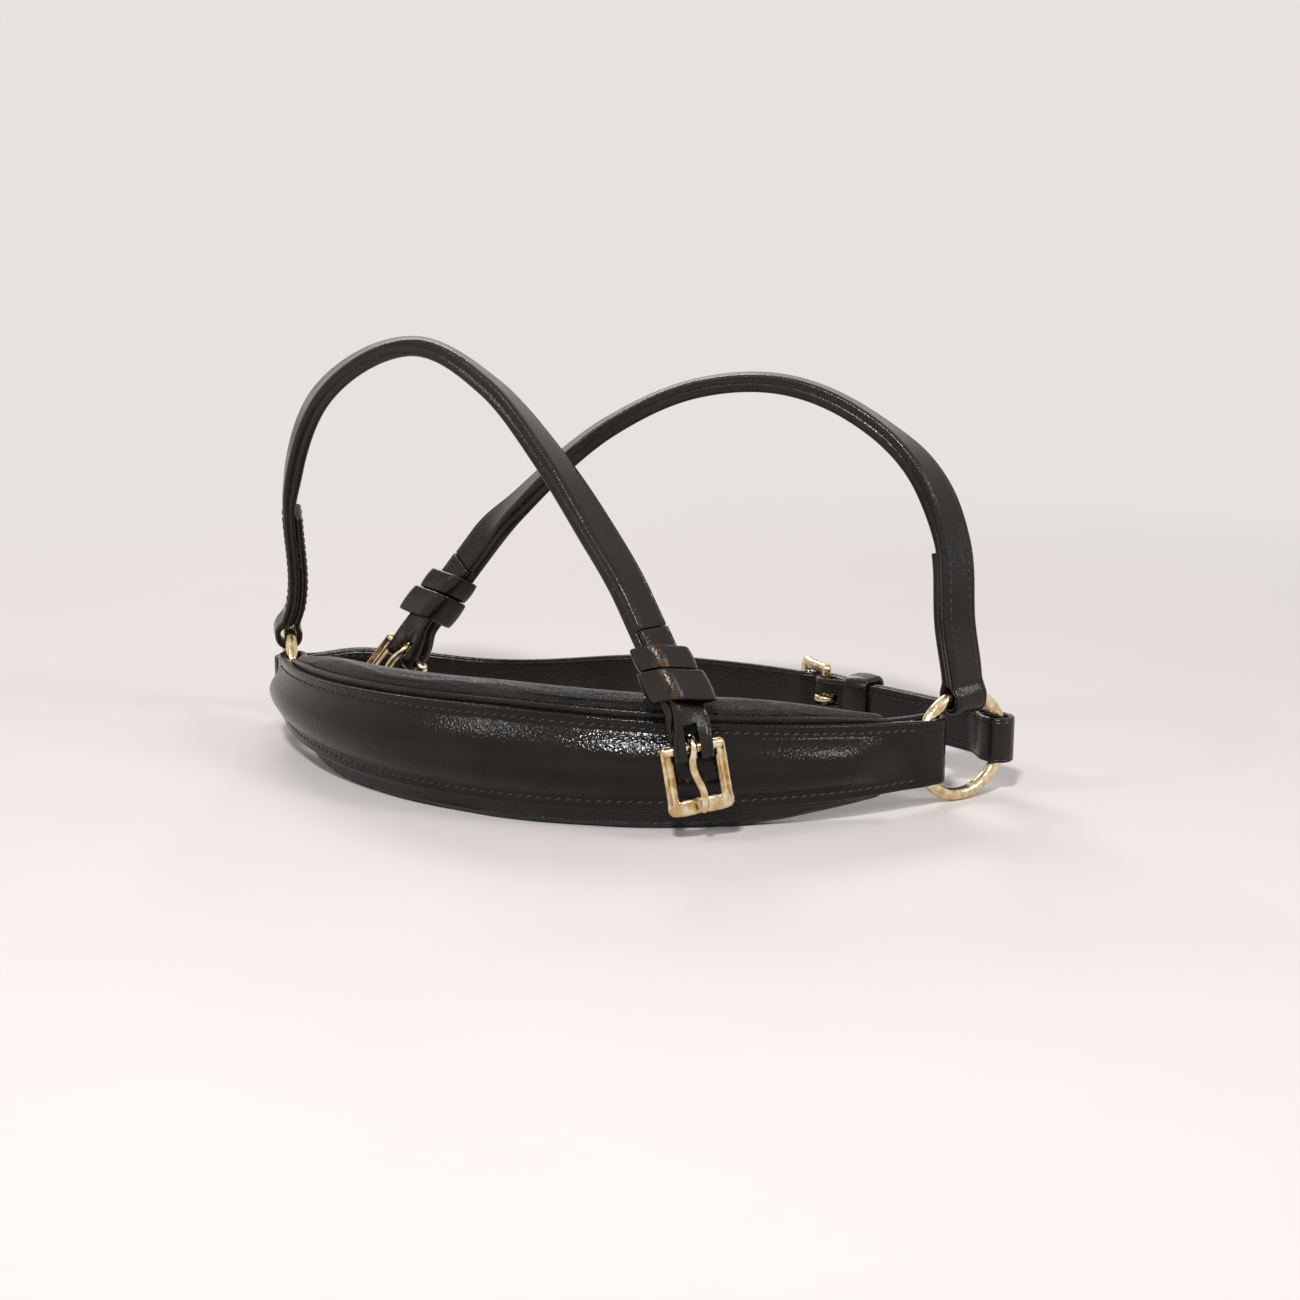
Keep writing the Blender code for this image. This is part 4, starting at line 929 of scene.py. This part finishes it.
for name, side in (("ring_left", -1.0), ("ring_right", 1.0)):
    centre = Vector((side * RING_X, RING_Y, RING_HEIGHT))
    way = Vector((side * RING_WAY.x, RING_WAY.y, 0.0))
    turns = [2.0 * math.pi * i / 120 for i in range(120)]
    points = [centre + (way * math.cos(t) + Vector((0.0, 0.0, math.sin(t)))) * RING_RADIUS for t in turns]
    finish(sweep(name + "_wire", points, [WIRE_RADIUS] * 120, way.cross(Vector((0.0, 0.0, 1.0))), True, 24),
           name, name)


# ---------------------------------------------------------------- cheek straps

def cheek_stations(length):
    stack_low = -0.5 * CHEEK_THICKNESS
    drop = wire_drop(0.5 * CHEEK_WIDTH)
    sway = 0.5 * drop * math.sin(CHEEK_SWING)
    turn_reach = WIRE_RADIUS + WIRE_FIT + sway + 0.5 * CHEEK_LOOP_THICKNESS
    near_main = 0.5 * (CHEEK_LAP_THICKNESS + SEWN_GAP)
    near_back = -0.5 * (CHEEK_NEAR_THICKNESS + SEWN_GAP)
    bar = BUCKLE_BAR_RADIUS + WIRE_FIT + 0.5 * CHEEK_BAR_THICKNESS
    thin = CHEEK_THICKNESS - CHEEK_BAR_THICKNESS
    far_main = stack_low + 0.5 * thin
    far_back = stack_low + thin + GAP + 0.5 * CHEEK_BAR_THICKNESS
    stations = [(CHEEK_LOOP_LAP, near_back + 0.0003, CHEEK_LAP_THICKNESS - 0.0007, 0.0, -1.0)]
    flat = spread(CHEEK_LOOP_LAP - 0.003, CHEEK_WAIST_END, 0.002)[:-1]
    for u in [CHEEK_LOOP_LAP - 0.0003, CHEEK_LOOP_LAP - 0.001] + flat:
        stations.append((u, near_back, CHEEK_LAP_THICKNESS, 0.0, -1.0))
    for u in spread(CHEEK_WAIST_END, -drop, CHEEK_FINE_STEP):
        share = ease((u - CHEEK_WAIST_START) / CHEEK_WAIST)
        thick = mix(CHEEK_LOOP_THICKNESS, CHEEK_LAP_THICKNESS, share)
        stations.append((u, mix(sway - turn_reach, near_back, share), thick, 0.0, -1.0))
    wrap(stations, -drop, turn_reach, CHEEK_LOOP_THICKNESS, -1.0, -1.0, sway)
    for u in spread(-drop, CHEEK_WAIST_END, CHEEK_FINE_STEP):
        share = ease((u - CHEEK_WAIST_START) / CHEEK_WAIST)
        thick = mix(CHEEK_LOOP_THICKNESS, CHEEK_NEAR_THICKNESS, share)
        stations.append((u, mix(sway + turn_reach, near_main, share), thick, 0.0, 1.0))
    step_at = length - CHEEK_BAR_LAP
    step_down = [step_at - 0.0009, step_at - 0.0006, step_at - 0.0004]
    for u in spread(CHEEK_WAIST_END, step_at - 0.0022, CHEEK_STEP)[1:] + step_down:
        share = ease((u - CHEEK_LOOP_LAP) / 0.06)
        fill = ease((u - CHEEK_LOOP_LAP) / 0.02)
        thick = mix(CHEEK_NEAR_THICKNESS, CHEEK_THICKNESS, fill)
        sink = 0.0003 * ease((u - step_at + 0.0009) / 0.0004)
        stations.append((u, mix(near_main, 0.0, share) - 0.5 * sink, thick - sink, 0.0, 1.0))
    flat = spread(step_at - GAP, length - CHEEK_BAR_BLEND - 0.0015, CHEEK_STEP)
    stations += [(u, far_main, thin, 0.0, 1.0) for u in flat]
    for back in spread(CHEEK_BAR_BLEND, 0.0, 0.001):
        share = ease((CHEEK_BAR_BLEND - back) / 0.011)
        thick = mix(thin, CHEEK_BAR_THICKNESS, share)
        stations.append((length - back, mix(far_main, -bar, share), thick, 0.0, 1.0))
    wrap(stations, length, bar, CHEEK_BAR_THICKNESS, 1.0, -1.0)
    for back in spread(0.0, CHEEK_BAR_BLEND, 0.001):
        share = ease((CHEEK_BAR_BLEND - back) / 0.011)
        stations.append((length - back, mix(far_back, bar, share), CHEEK_BAR_THICKNESS, 0.0, -1.0))
    stations += [(length - back, far_back, CHEEK_BAR_THICKNESS, 0.0, -1.0)
                 for back in spread(CHEEK_BAR_BLEND + 0.0015, CHEEK_BAR_LAP - 0.0007, CHEEK_STEP)]
    return stations + [(step_at + 0.0003, far_back - 0.0001, CHEEK_BAR_THICKNESS - 0.0002, 0.0, -1.0),
                       (step_at, far_back - 0.0003, CHEEK_BAR_THICKNESS - 0.0006, 0.0, -1.0)]


def keeper(name, matrix, low, high, half_width, wall, length, body, node, slant=(0.0, 0.0), worn=0.0):
    # A closed leather loop about a strap, domed along its length, its ends leaning by slant in x and z
    centre = 0.5 * (low + high)
    half_n = 0.5 * (high - low) + 0.5 * wall
    half_w = half_width + 0.5 * wall
    corners = [Vector((x * (half_w - KEEPER_CORNER), 0.0, centre + z * (half_n - KEEPER_CORNER)))
               for x, z in ((1, 1), (-1, 1), (-1, -1), (1, -1))]
    outline = []
    for start, spot in enumerate(corners):
        for i in range(10):
            turn = math.radians(90.0 * (start + i / 9.0))
            out = Vector((math.cos(turn), 0.0, math.sin(turn)))
            outline.append((spot + out * KEEPER_CORNER, out, math.sin(math.pi * i / 9.0) if start == 1 else 0.0))
        end = corners[(start + 1) % 4] + out * KEEPER_CORNER
        begin = outline[-1][0]
        outline += [(begin.lerp(end, share), out, 0.0) for share in (0.2, 0.4, 0.6, 0.8)]
    half_a = 0.5 * wall
    half_y = 0.5 * length
    bend = min(0.0008, 0.45 * wall)
    profile = []
    for i in range(13):
        y = mix(-1.0, 1.0, i / 12.0) * (half_y - bend)
        profile.append((half_a + KEEPER_DOME * (1.0 - (y / half_y) ** 2), y))
    rim = []
    for i in range(1, 12):
        turn = math.radians(mix(90.0, -90.0, i / 12.0))
        swell = KEEPER_DOME * (1.0 - ((half_y - bend) / half_y) ** 2) * max(0.0, math.sin(turn))
        rim.append(((half_a - bend) * (1.0 if i < 6 else -1.0) + bend * math.sin(turn) + swell,
                    half_y - bend + bend * math.cos(turn)))
    profile += rim + [(-half_a, y) for y in (half_y - bend, 0.0, bend - half_y)] + [(a, -y) for a, y in reversed(rim)]
    sections, edge, rubbed = [], [], []
    for spot, out, corner_share in outline:
        places = [(spot + out * a, y) for a, y in profile]
        sections.append([matrix @ (p + Vector((0.0, y + (slant[0] * p.x + slant[1] * p.z), 0.0))) for p, y in places])
        edge += [0.7 if abs(y) > half_y - 0.0004 else 0.0 for _, y in profile]
        rubbed += [worn * corner_share if a > 0.0 else 0.0 for a, _ in profile]
    piece = loft(name, sections, STRAP_LEATHER, closed=True, edge=edge, sharp=80.0)
    set_share(piece.data, "rubbed", rubbed)
    finish(piece, body, node)


def buckle_frame(name, matrix, inside, length, body, node):
    # A cast buckle: channelled legs with an outer and an inner rim, a broad end with a rest for the tongue
    leg_x = 0.5 * (inside + BUCKLE_LEG)
    end_y = length - 0.5 * BUCKLE_END_BAR
    turn_in = BUCKLE_CORNER
    depth = 0.5 * BUCKLE_LEG_DEPTH
    path = []
    for share in (0.0, 0.2, 0.4, 0.6, 0.8, 1.0):
        y = mix(-0.0004, end_y - turn_in, share)
        path.append((leg_x, y, 1.0, 0.0, 0.5 * BUCKLE_LEG, mix(0.35, 1.0, ease(share / 0.3))))
    for i in range(1, 8):
        turn = math.radians(90.0 * i / 7.0)
        path.append((leg_x - turn_in + turn_in * math.cos(turn), end_y - turn_in + turn_in * math.sin(turn),
                     math.cos(turn), math.sin(turn),
                     mix(0.5 * BUCKLE_LEG, 0.5 * BUCKLE_END_BAR, i / 7.0), mix(1.0, 0.35, i / 7.0)))
    for share in (0.3, 0.55, 0.7, 0.8, 0.9, 1.0):
        path.append(((leg_x - turn_in) * (1.0 - share), end_y, 0.0, 1.0, 0.5 * BUCKLE_END_BAR, 0.35))
    path += [(-x, y, -a, b, hw, c) for x, y, a, b, hw, c in reversed(path[:-1])]
    sections = []
    for x, y, a, b, hw, channel in path:
        notch = 0.0011 * max(0.0, 1.0 - abs(x) / 0.0026) if b > 0.9 else 0.0
        rim = BUCKLE_RIM
        dig = BUCKLE_CHANNEL * channel
        push = BUCKLE_SQUARE * (2.0 * abs(a * b)) ** 2.5
        if hw > 0.5 * BUCKLE_LEG + 0.0005:
            top = [(-hw + 0.0003, depth - 0.0003), (-hw + 0.0008, depth), (-hw + 0.0014, depth - dig),
                   (0.0, depth - dig - 0.0001), (hw - 0.0018, depth - 0.3 * dig), (hw - 0.0009, depth - 0.1 * dig),
                   (hw - 0.0003, depth - 0.0003)]
        else:
            top = [(-hw + 0.0002, depth - 0.0002), (-hw + rim, depth), (-hw + 1.6 * rim, depth - 0.8 * dig),
                   (0.0, depth - dig), (hw - 2.6 * rim, depth - 0.8 * dig), (hw - 1.4 * rim, depth),
                   (hw - 0.0003, depth - 0.0003)]
        sides = [(hw, depth - 0.0009), (hw, -depth + 0.0006), (hw - 0.0006, -depth), (0.0, -depth),
                 (-hw + 0.0006, -depth), (-hw, -depth + 0.0006), (-hw, depth - 0.0008)]
        section = []
        for d, z in top + sides:
            d += push * max(0.0, d / hw) * (turn_in + hw)
            section.append(matrix @ Vector((x + a * d, y + b * d, z - (notch if z > 0.0 else 0.0))))
        sections.append(section)
    frame_piece = loft(name, sections, BRASS, sharp=75.0)
    work = bmesh.new()
    work.from_mesh(frame_piece.data)
    bar = bmesh.ops.create_cone(work, segments=24, radius1=BUCKLE_BAR_RADIUS, radius2=BUCKLE_BAR_RADIUS,
                                depth=inside + 1.2 * BUCKLE_LEG, cap_ends=True)
    turn = matrix @ Matrix.Rotation(math.radians(90.0), 4, "Y")
    bmesh.ops.transform(work, matrix=turn, verts=bar["verts"])
    for side in (-1.0, 1.0):
        knob = bmesh.ops.create_uvsphere(work, u_segments=20, v_segments=12, radius=1.0)
        shape = matrix @ Matrix.Translation((side * leg_x, 0.0, 0.0)) @ Matrix.Diagonal(
            (0.5 * BUCKLE_LEG, 0.0019, depth + 0.0001, 1.0))
        bmesh.ops.transform(work, matrix=shape, verts=knob["verts"])
    for face in work.faces:
        face.smooth = True
    work.to_mesh(frame_piece.data)
    work.free()
    frame_piece.data.set_sharp_from_angle(angle=math.radians(60.0))
    finish(frame_piece, body, node)


def tongue_loop():
    # The tongue's turn round the bar, and how far it stands off the bar's middle
    reach = BUCKLE_BAR_RADIUS + WIRE_FIT + TONGUE_RADIUS
    turns = [math.radians(mix(350.0, 90.0, i / 13.0)) for i in range(14)]
    return [Vector((0.0, reach * math.cos(t), reach * math.sin(t))) for t in turns], reach


def tongue(name, matrix, points, tip, body, node):
    radii = [TONGUE_RADIUS] * (len(points) - len(tip)) + [share * TONGUE_RADIUS for share in tip]
    piece = sweep(name, [matrix @ p for p in points], radii, matrix.to_3x3() @ Vector((1, 0, 0)))
    finish(piece, body, node)


def cheek_rows(line):
    # Two stitch rows on each face of the doubled stretch
    depth = 0.5 * (CHEEK_LAP_THICKNESS + SEWN_GAP) + 0.5 * CHEEK_NEAR_THICKNESS + THREAD_LIFT
    rows = []
    for face in (1.0, -1.0):
        for side in (1.0, -1.0):
            row = []
            for u in spread(CHEEK_STITCH_START, CHEEK_LOOP_LAP - 0.002, 0.0015):
                _, way, width = line.frame(u)
                spot = line.point(u, face * depth, side * (0.5 * CHEEK_WIDTH - CHEEK_STITCH_INSET))
                row.append((spot, way.cross(width) * face))
            rows.append(row)
    return rows


def build_cheek(side, line, slant):
    length = line.length
    body = "cheek_" + side
    strap = strip(body + "_strap_leather", line.point, cheek_stations(length), lambda u: CHEEK_WIDTH, CHEEK_CORNER)
    bar = line.matrix(length)
    reach = BUCKLE_BAR_RADIUS + WIRE_FIT + CHEEK_BAR_THICKNESS + 0.002
    cut_box(strap, bar, (-0.5 * TONGUE_SLOT, -TONGUE_SLOT_LENGTH, -reach), (0.5 * TONGUE_SLOT, reach, reach))
    finish(strap, body, body + "_strap")
    stitch_rows(body + "_stitches", cheek_rows(line), body,
                Pitch=CHEEK_STITCH_PITCH, Length=0.0021, Thread=0.0007, Slant=0.34, Hole=0.0006)
    low = -0.5 * CHEEK_THICKNESS - GAP
    high = 0.5 * CHEEK_THICKNESS + GAP + KEEPER_HEADROOM
    half_w = 0.5 * CHEEK_WIDTH + GAP
    fixed_at = length - FIXED_KEEPER_OFFSET - 0.5 * FIXED_KEEPER_LENGTH
    runner_at = fixed_at - 0.5 * FIXED_KEEPER_LENGTH - GAP - 0.5 * RUNNER_KEEPER_LENGTH
    keeper(body + "_fixed_loop", line.matrix(fixed_at), low, high + FIXED_KEEPER_ROOM, half_w + FIXED_KEEPER_ROOM,
           FIXED_KEEPER_WALL, FIXED_KEEPER_LENGTH, body, body + "_fixed_keeper", slant, 0.7)
    keeper(body + "_runner_loop", line.matrix(runner_at), low, high, half_w,
           KEEPER_WALL, RUNNER_KEEPER_LENGTH, body + "_runner", body + "_runner_keeper", slant, 1.0)
    buckle_frame(body + "_buckle_frame", bar, BUCKLE_INSIDE, BUCKLE_LENGTH, body + "_buckle", body + "_buckle")
    points, reach = tongue_loop()
    for share in [i / 24.0 for i in range(1, 25)]:
        sway = TONGUE_SWAY * math.sin(2.0 * math.pi * share)
        points.append(Vector((-sway, (BUCKLE_LENGTH - 0.001) * share, reach)))
    tongue(body + "_tongue_pin", bar, points, (0.95, 0.85, 0.6), body + "_tongue", body + "_tongue")


def cheek_line(ring_side, route, head, straight, bar, bar_way, end_angles):
    top = Vector((ring_side * RING_X, RING_Y, RING_HEIGHT + RING_RADIUS))
    way = straight.normalized()
    span = CHEEK_STRAIGHT_START - CHEEK_STRAIGHT_END
    knots = [top] + [Vector(p[:3]) + SHIFT for p in route] + [head - way * span, head, bar]
    ways = [Vector((0.0, 0.0, 1.0))]
    for i in range(1, len(knots) - 3):
        before = knots[i] - knots[i - 1]
        after = knots[i + 1] - knots[i]
        ways.append((before.normalized() * after.length + after.normalized() * before.length).normalized())
    ways += [way, way, bar_way.normalized()]
    angles = [180.0 + ring_side * math.degrees(RING_PLANE)] + [p[3] for p in route]
    angles += [end_angles[0], end_angles[0], end_angles[1]]
    return Line(knots, ways, angles)


def nose_stand(angle, standoff, height):
    # A point that stands off the nose piece's arc by the given distance
    reach = NOSE_RADIUS + standoff
    return Vector((reach * math.sin(angle), NOSE.centre.y - reach * math.cos(angle), height))


LEFT_HEAD = nose_stand(LEFT_HEAD_ANGLE, LEFT_HEAD_STANDOFF, LEFT_HEAD_HEIGHT)
LEFT_BAR = nose_stand(LEFT_BAR_ANGLE, LEFT_BAR_STANDOFF, LEFT_BAR_HEIGHT)
LEFT = cheek_line(-1.0, LEFT_ROUTE, LEFT_HEAD, LEFT_STRAIGHT_WAY, LEFT_BAR, LEFT_BAR_WAY, LEFT_END_ANGLES)
RIGHT = cheek_line(1.0, RIGHT_ROUTE, RIGHT_STRAIGHT_HEAD + SHIFT, RIGHT_STRAIGHT_WAY, RIGHT_BAR + SHIFT,
                   RIGHT_BAR_WAY, RIGHT_END_ANGLES)
build_cheek("left", LEFT, LEFT_KEEPER_SLANT)
build_cheek("right", RIGHT, RIGHT_KEEPER_SLANT)


# ---------------------------------------------------------------- chin strap

def chin_middle(u):
    share = max(0.0, min(1.0, (u - CHIN_DIP_START) / CHIN_DIP_LENGTH))
    drop = BILLET_LOOP_DROP * (1.0 - ease(u / BILLET_DROP_FADE))
    return RING_HEIGHT - CHIN_DIP * math.sin(math.pi * share) ** 2 - drop


def chin_place_right(u, n, w):
    return CHIN.place(CHIN.length - u, n, chin_middle(CHIN.length - u) + w)


def chin_place_left(u, n, w):
    return CHIN.place(u, n, chin_middle(u) + w)


def chin_loop(stations, lap):
    drop = wire_drop(0.5 * CHIN_WIDTH)
    turn_reach = WIRE_RADIUS + WIRE_FIT + 0.5 * drop + 0.5 * CHIN_THICKNESS
    level = -0.5 * drop
    stations.append((lap + 0.0004, -CHIN_LAYER, 0.5 * CHIN_THICKNESS, 0.0, -1.0))
    stations += [(u, -CHIN_LAYER, CHIN_THICKNESS, 0.0, -1.0) for u in spread(lap, CHIN_SETTLE, 0.002)[:-1]]
    for u in spread(CHIN_SETTLE, 0.0, 0.001):
        share = ease((u - 0.002) / 0.0115)
        stations.append((u, mix(level - turn_reach, -CHIN_LAYER, share), CHIN_THICKNESS, 0.0, -1.0))
    wrap(stations, 0.0, turn_reach, CHIN_THICKNESS, -1.0, -1.0, level)
    for u in spread(0.0, CHIN_SETTLE, 0.001):
        share = ease((u - 0.002) / 0.0115)
        stations.append((u, mix(level + turn_reach, CHIN_LAYER, share), CHIN_THICKNESS, 0.0, 1.0))


def chin_frame(u):
    place = chin_place_right(u, 0.0, 0.0)
    way = (chin_place_right(u + 0.001, 0.0, 0.0) - place).normalized()
    out = (chin_place_right(u, 0.01, 0.0) - place).normalized()
    return axes(place, way, way.cross(out), out)


def build_chin():
    bar_reach = BUCKLE_BAR_RADIUS + WIRE_FIT + 0.5 * CHIN_THICKNESS
    stations = []
    chin_loop(stations, CHIN_LOOP_LAP)
    stations += [(u, CHIN_LAYER, CHIN_THICKNESS, 0.0, 1.0) for u in spread(CHIN_SETTLE, CHIN_BAR_AT - 0.010, 0.002)[1:]]
    for back in spread(0.009, 0.0, 0.001):
        share = ease((0.010 - back) / 0.009)
        stations.append((CHIN_BAR_AT - back, mix(CHIN_LAYER, bar_reach, share), CHIN_THICKNESS, 0.0, 1.0))
    wrap(stations, CHIN_BAR_AT, bar_reach, CHIN_THICKNESS, 1.0, 1.0)
    for back in spread(0.0, 0.009, 0.001) + [0.010, 0.011, CHIN_BAR_LAP]:
        share = ease((0.010 - back) / 0.009)
        stations.append((CHIN_BAR_AT - back, -mix(CHIN_LAYER, bar_reach, share), CHIN_THICKNESS, 0.0, -1.0))
    strap = strip("chin_buckle_strap_leather", chin_place_right, stations, lambda u: CHIN_WIDTH, CHIN_CORNER)
    bar = chin_frame(CHIN_BAR_AT)
    reach = BUCKLE_BAR_RADIUS + WIRE_FIT + CHIN_THICKNESS + 0.001
    cut_box(strap, bar, (-0.5 * TONGUE_SLOT, -0.007, -reach), (0.5 * TONGUE_SLOT, reach, reach))
    finish(strap, "noseband", "chin_buckle_strap")

    over_bar = bar_reach + CHIN_THICKNESS + GAP
    on_stack = CHIN_LAYER + CHIN_THICKNESS + GAP
    bar_at = CHIN.length - CHIN_BAR_AT
    run_end = bar_at - 0.0225
    stations = []
    chin_loop(stations, BILLET_LOOP_LAP)
    for u in spread(CHIN_SETTLE, run_end, 0.002)[1:]:
        share = ease((u - run_end + BILLET_DRIFT) / BILLET_DRIFT)
        stations.append((u, mix(CHIN_LAYER, BILLET_UNDER_END, share), CHIN_THICKNESS, 0.0, 1.0))
    route = [(0.0175, BILLET_UNDER_END), (0.0120, BILLET_UNDER_END), (0.0080, mix(BILLET_UNDER_END, over_bar, 0.62)),
             (0.0045, mix(BILLET_UNDER_END, over_bar, 0.97)), (0.0015, over_bar), (-0.0020, over_bar),
             (-0.0055, mix(on_stack, over_bar, 0.60)), (-0.0095, on_stack)]
    route = smooth_line([Vector((ahead, n, 0.0)) for ahead, n in route], 0.001)
    stations += [(bar_at - spot.x, spot.y, CHIN_THICKNESS, 0.0, 1.0) for spot in route[:-1]]
    stations.append((CHIN.length - BILLET_TIP_AT, on_stack, CHIN_THICKNESS, 0.0, 1.0))
    billet = strip("chin_billet_leather", chin_place_left, stations,
                   lambda u: mix(BILLET_LOOP_WIDTH, CHIN_WIDTH, ease((u - 0.008) / 0.022)), CHIN_CORNER)
    cut_box(billet, bar, (-0.5 * BILLET_HOLE, BILLET_HOLE_START, over_bar - 0.005),
            (0.5 * BILLET_HOLE, BILLET_HOLE_START + BILLET_HOLE_LENGTH, over_bar + 0.005))
    finish(billet, "noseband", "chin_billet_strap")

    tilted = bar @ Matrix.Rotation(CHIN_BUCKLE_TILT, 4, "X")
    buckle_frame("chin_buckle_frame", tilted, CHIN_BUCKLE_INSIDE, CHIN_BUCKLE_LENGTH, "noseband", "chin_buckle")
    points = smooth_line(tongue_loop()[0] + [Vector((0.0, y, z)) for y, z in CHIN_TONGUE_ROUTE], 0.0006)
    tongue("chin_tongue_pin", tilted, points, (0.85, 0.6), "noseband", "chin_tongue")
    keeper("chin_keeper_loop", chin_frame(CHIN_KEEPER_AT), -CHIN_THICKNESS - 1.5 * GAP,
           CHIN_THICKNESS + 0.5 * GAP + CHIN_KEEPER_RISE, 0.5 * CHIN_WIDTH + GAP, KEEPER_WALL,
           CHIN_KEEPER_LENGTH, "noseband", "chin_keeper")

    rows = []
    for place, lap in ((chin_place_right, CHIN_LOOP_LAP), (chin_place_left, BILLET_LOOP_LAP)):
        for face in (1.0, -1.0):
            for side in (1.0, -1.0):
                row = []
                for u in spread(CHIN_SETTLE, lap - 0.003, 0.002):
                    n = face * (CHIN_LAYER + 0.5 * CHIN_THICKNESS + THREAD_LIFT)
                    w = side * (0.5 * CHIN_WIDTH - CHIN_STITCH_INSET)
                    spot = place(u, n, w)
                    row.append((spot, (place(u, n + face * 0.01, w) - spot).normalized()))
                rows.append(row)
    stitch_rows("chin_stitches", rows, "noseband",
                Pitch=CHEEK_STITCH_PITCH, Length=0.0022, Thread=0.0006, Slant=0.30, Hole=0.0005)


build_chin()

for name in ("nose_foam", "nose_crown_core"):
    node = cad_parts[name]
    node.data.materials.clear()
    node.data.materials.append(FOAM)


# ---------------------------------------------------------------- floor, light and camera

BACKGROUND = "#e8e2df"


def pale_floor():
    # Matt pale paper that keeps the shadow near the object and runs into the backdrop's tone farther out
    mat, tree, shader, place = surface("pale_paper", "#e4ddda", 0.9)
    wire(tree, shader, Base_Color=two_tone(tree, noise(tree, place, 0.08), "#e7e0dd", "#ebe5e2"),
         Specular_IOR_Level=0.15)
    away = add(tree, "ShaderNodeVectorMath", {0: place}, operation="LENGTH").outputs["Value"]
    seen = add(tree, "ShaderNodeLightPath").outputs["Is Camera Ray"]
    far = calc(tree, "MULTIPLY", band(tree, away, 0.30, 0.75), seen)
    plain = add(tree, "ShaderNodeEmission", {"Color": srgb(BACKGROUND), "Strength": 1.0})
    both = add(tree, "ShaderNodeMixShader", {"Fac": far, 1: shader.outputs[0], 2: plain.outputs[0]})
    tree.links.new(both.outputs[0], tree.nodes["Material Output"].inputs["Surface"])
    bpy.ops.mesh.primitive_circle_add(vertices=96, radius=6.0, fill_type="NGON", location=(0.0, 0.0, 0.0))
    floor = bpy.context.object
    floor.name = "floor"
    floor.data.materials.append(mat)


def softbox(name, place, aim, size, watts):
    light = bpy.data.lights.new(name, "AREA")
    light.shape = "RECTANGLE"
    light.size, light.size_y = size
    light.energy = watts
    lamp = placed(name, light)
    lamp.location = place
    lamp.rotation_euler = (Vector(aim) - Vector(place)).to_track_quat("-Z", "Y").to_euler()


def set_world():
    # An even fill for the object, while the camera, the metal and the gloss see the backdrop's colour
    world = bpy.data.worlds.new("studio")
    world.use_nodes = True
    tree = world.node_tree
    tree.nodes.clear()
    rays = add(tree, "ShaderNodeLightPath").outputs
    seen = calc(tree, "MAXIMUM", rays["Is Camera Ray"], rays["Is Glossy Ray"])
    seen = calc(tree, "MAXIMUM", seen, rays["Is Transmission Ray"])
    fill = add(tree, "ShaderNodeBackground", {"Color": srgb("#f6f4f2"), "Strength": 0.27})
    shown = add(tree, "ShaderNodeBackground", {"Color": srgb(BACKGROUND), "Strength": 1.0})
    both = add(tree, "ShaderNodeMixShader", {"Fac": seen, 1: fill.outputs[0], 2: shown.outputs[0]})
    add(tree, "ShaderNodeOutputWorld", {"Surface": both.outputs[0]})
    bpy.context.scene.world = world


def set_camera():
    data = bpy.data.cameras.new("photo_view")
    data.lens = CAMERA_LENS
    data.sensor_fit = "HORIZONTAL"
    data.sensor_width = 36.0
    data.clip_start = 0.01
    camera = placed("photo_view", data)
    across = Vector((math.cos(CAMERA_AZIMUTH), math.sin(CAMERA_AZIMUTH), 0.0))
    away = Vector((-math.sin(CAMERA_AZIMUTH) * math.cos(CAMERA_ELEVATION),
                   math.cos(CAMERA_AZIMUTH) * math.cos(CAMERA_ELEVATION), -math.sin(CAMERA_ELEVATION)))
    target = across * CAMERA_SIDE + Vector((0.0, 0.0, CAMERA_HEIGHT)) + SHIFT
    camera.location = target - away * CAMERA_DISTANCE
    camera.rotation_euler = away.to_track_quat("-Z", "Y").to_euler()
    bpy.context.scene.camera = camera


pale_floor()
softbox("key", (0.26, -0.96, 1.00), (0.0, -0.03, 0.03), (0.13, 0.10), 11.0)
softbox("left", (-0.62, -0.80, 0.95), (0.0, -0.03, 0.03), (0.26, 0.18), 2.4)
softbox("side", (1.30, -0.20, 0.90), (0.05, 0.0, 0.05), (0.40, 0.40), 5.5)
softbox("back", (-0.80, 1.05, 1.05), (0.0, 0.0, 0.05), (0.9, 0.5), 10.5)
set_world()
set_camera()
bpy.context.scene.view_settings.view_transform = "Standard"
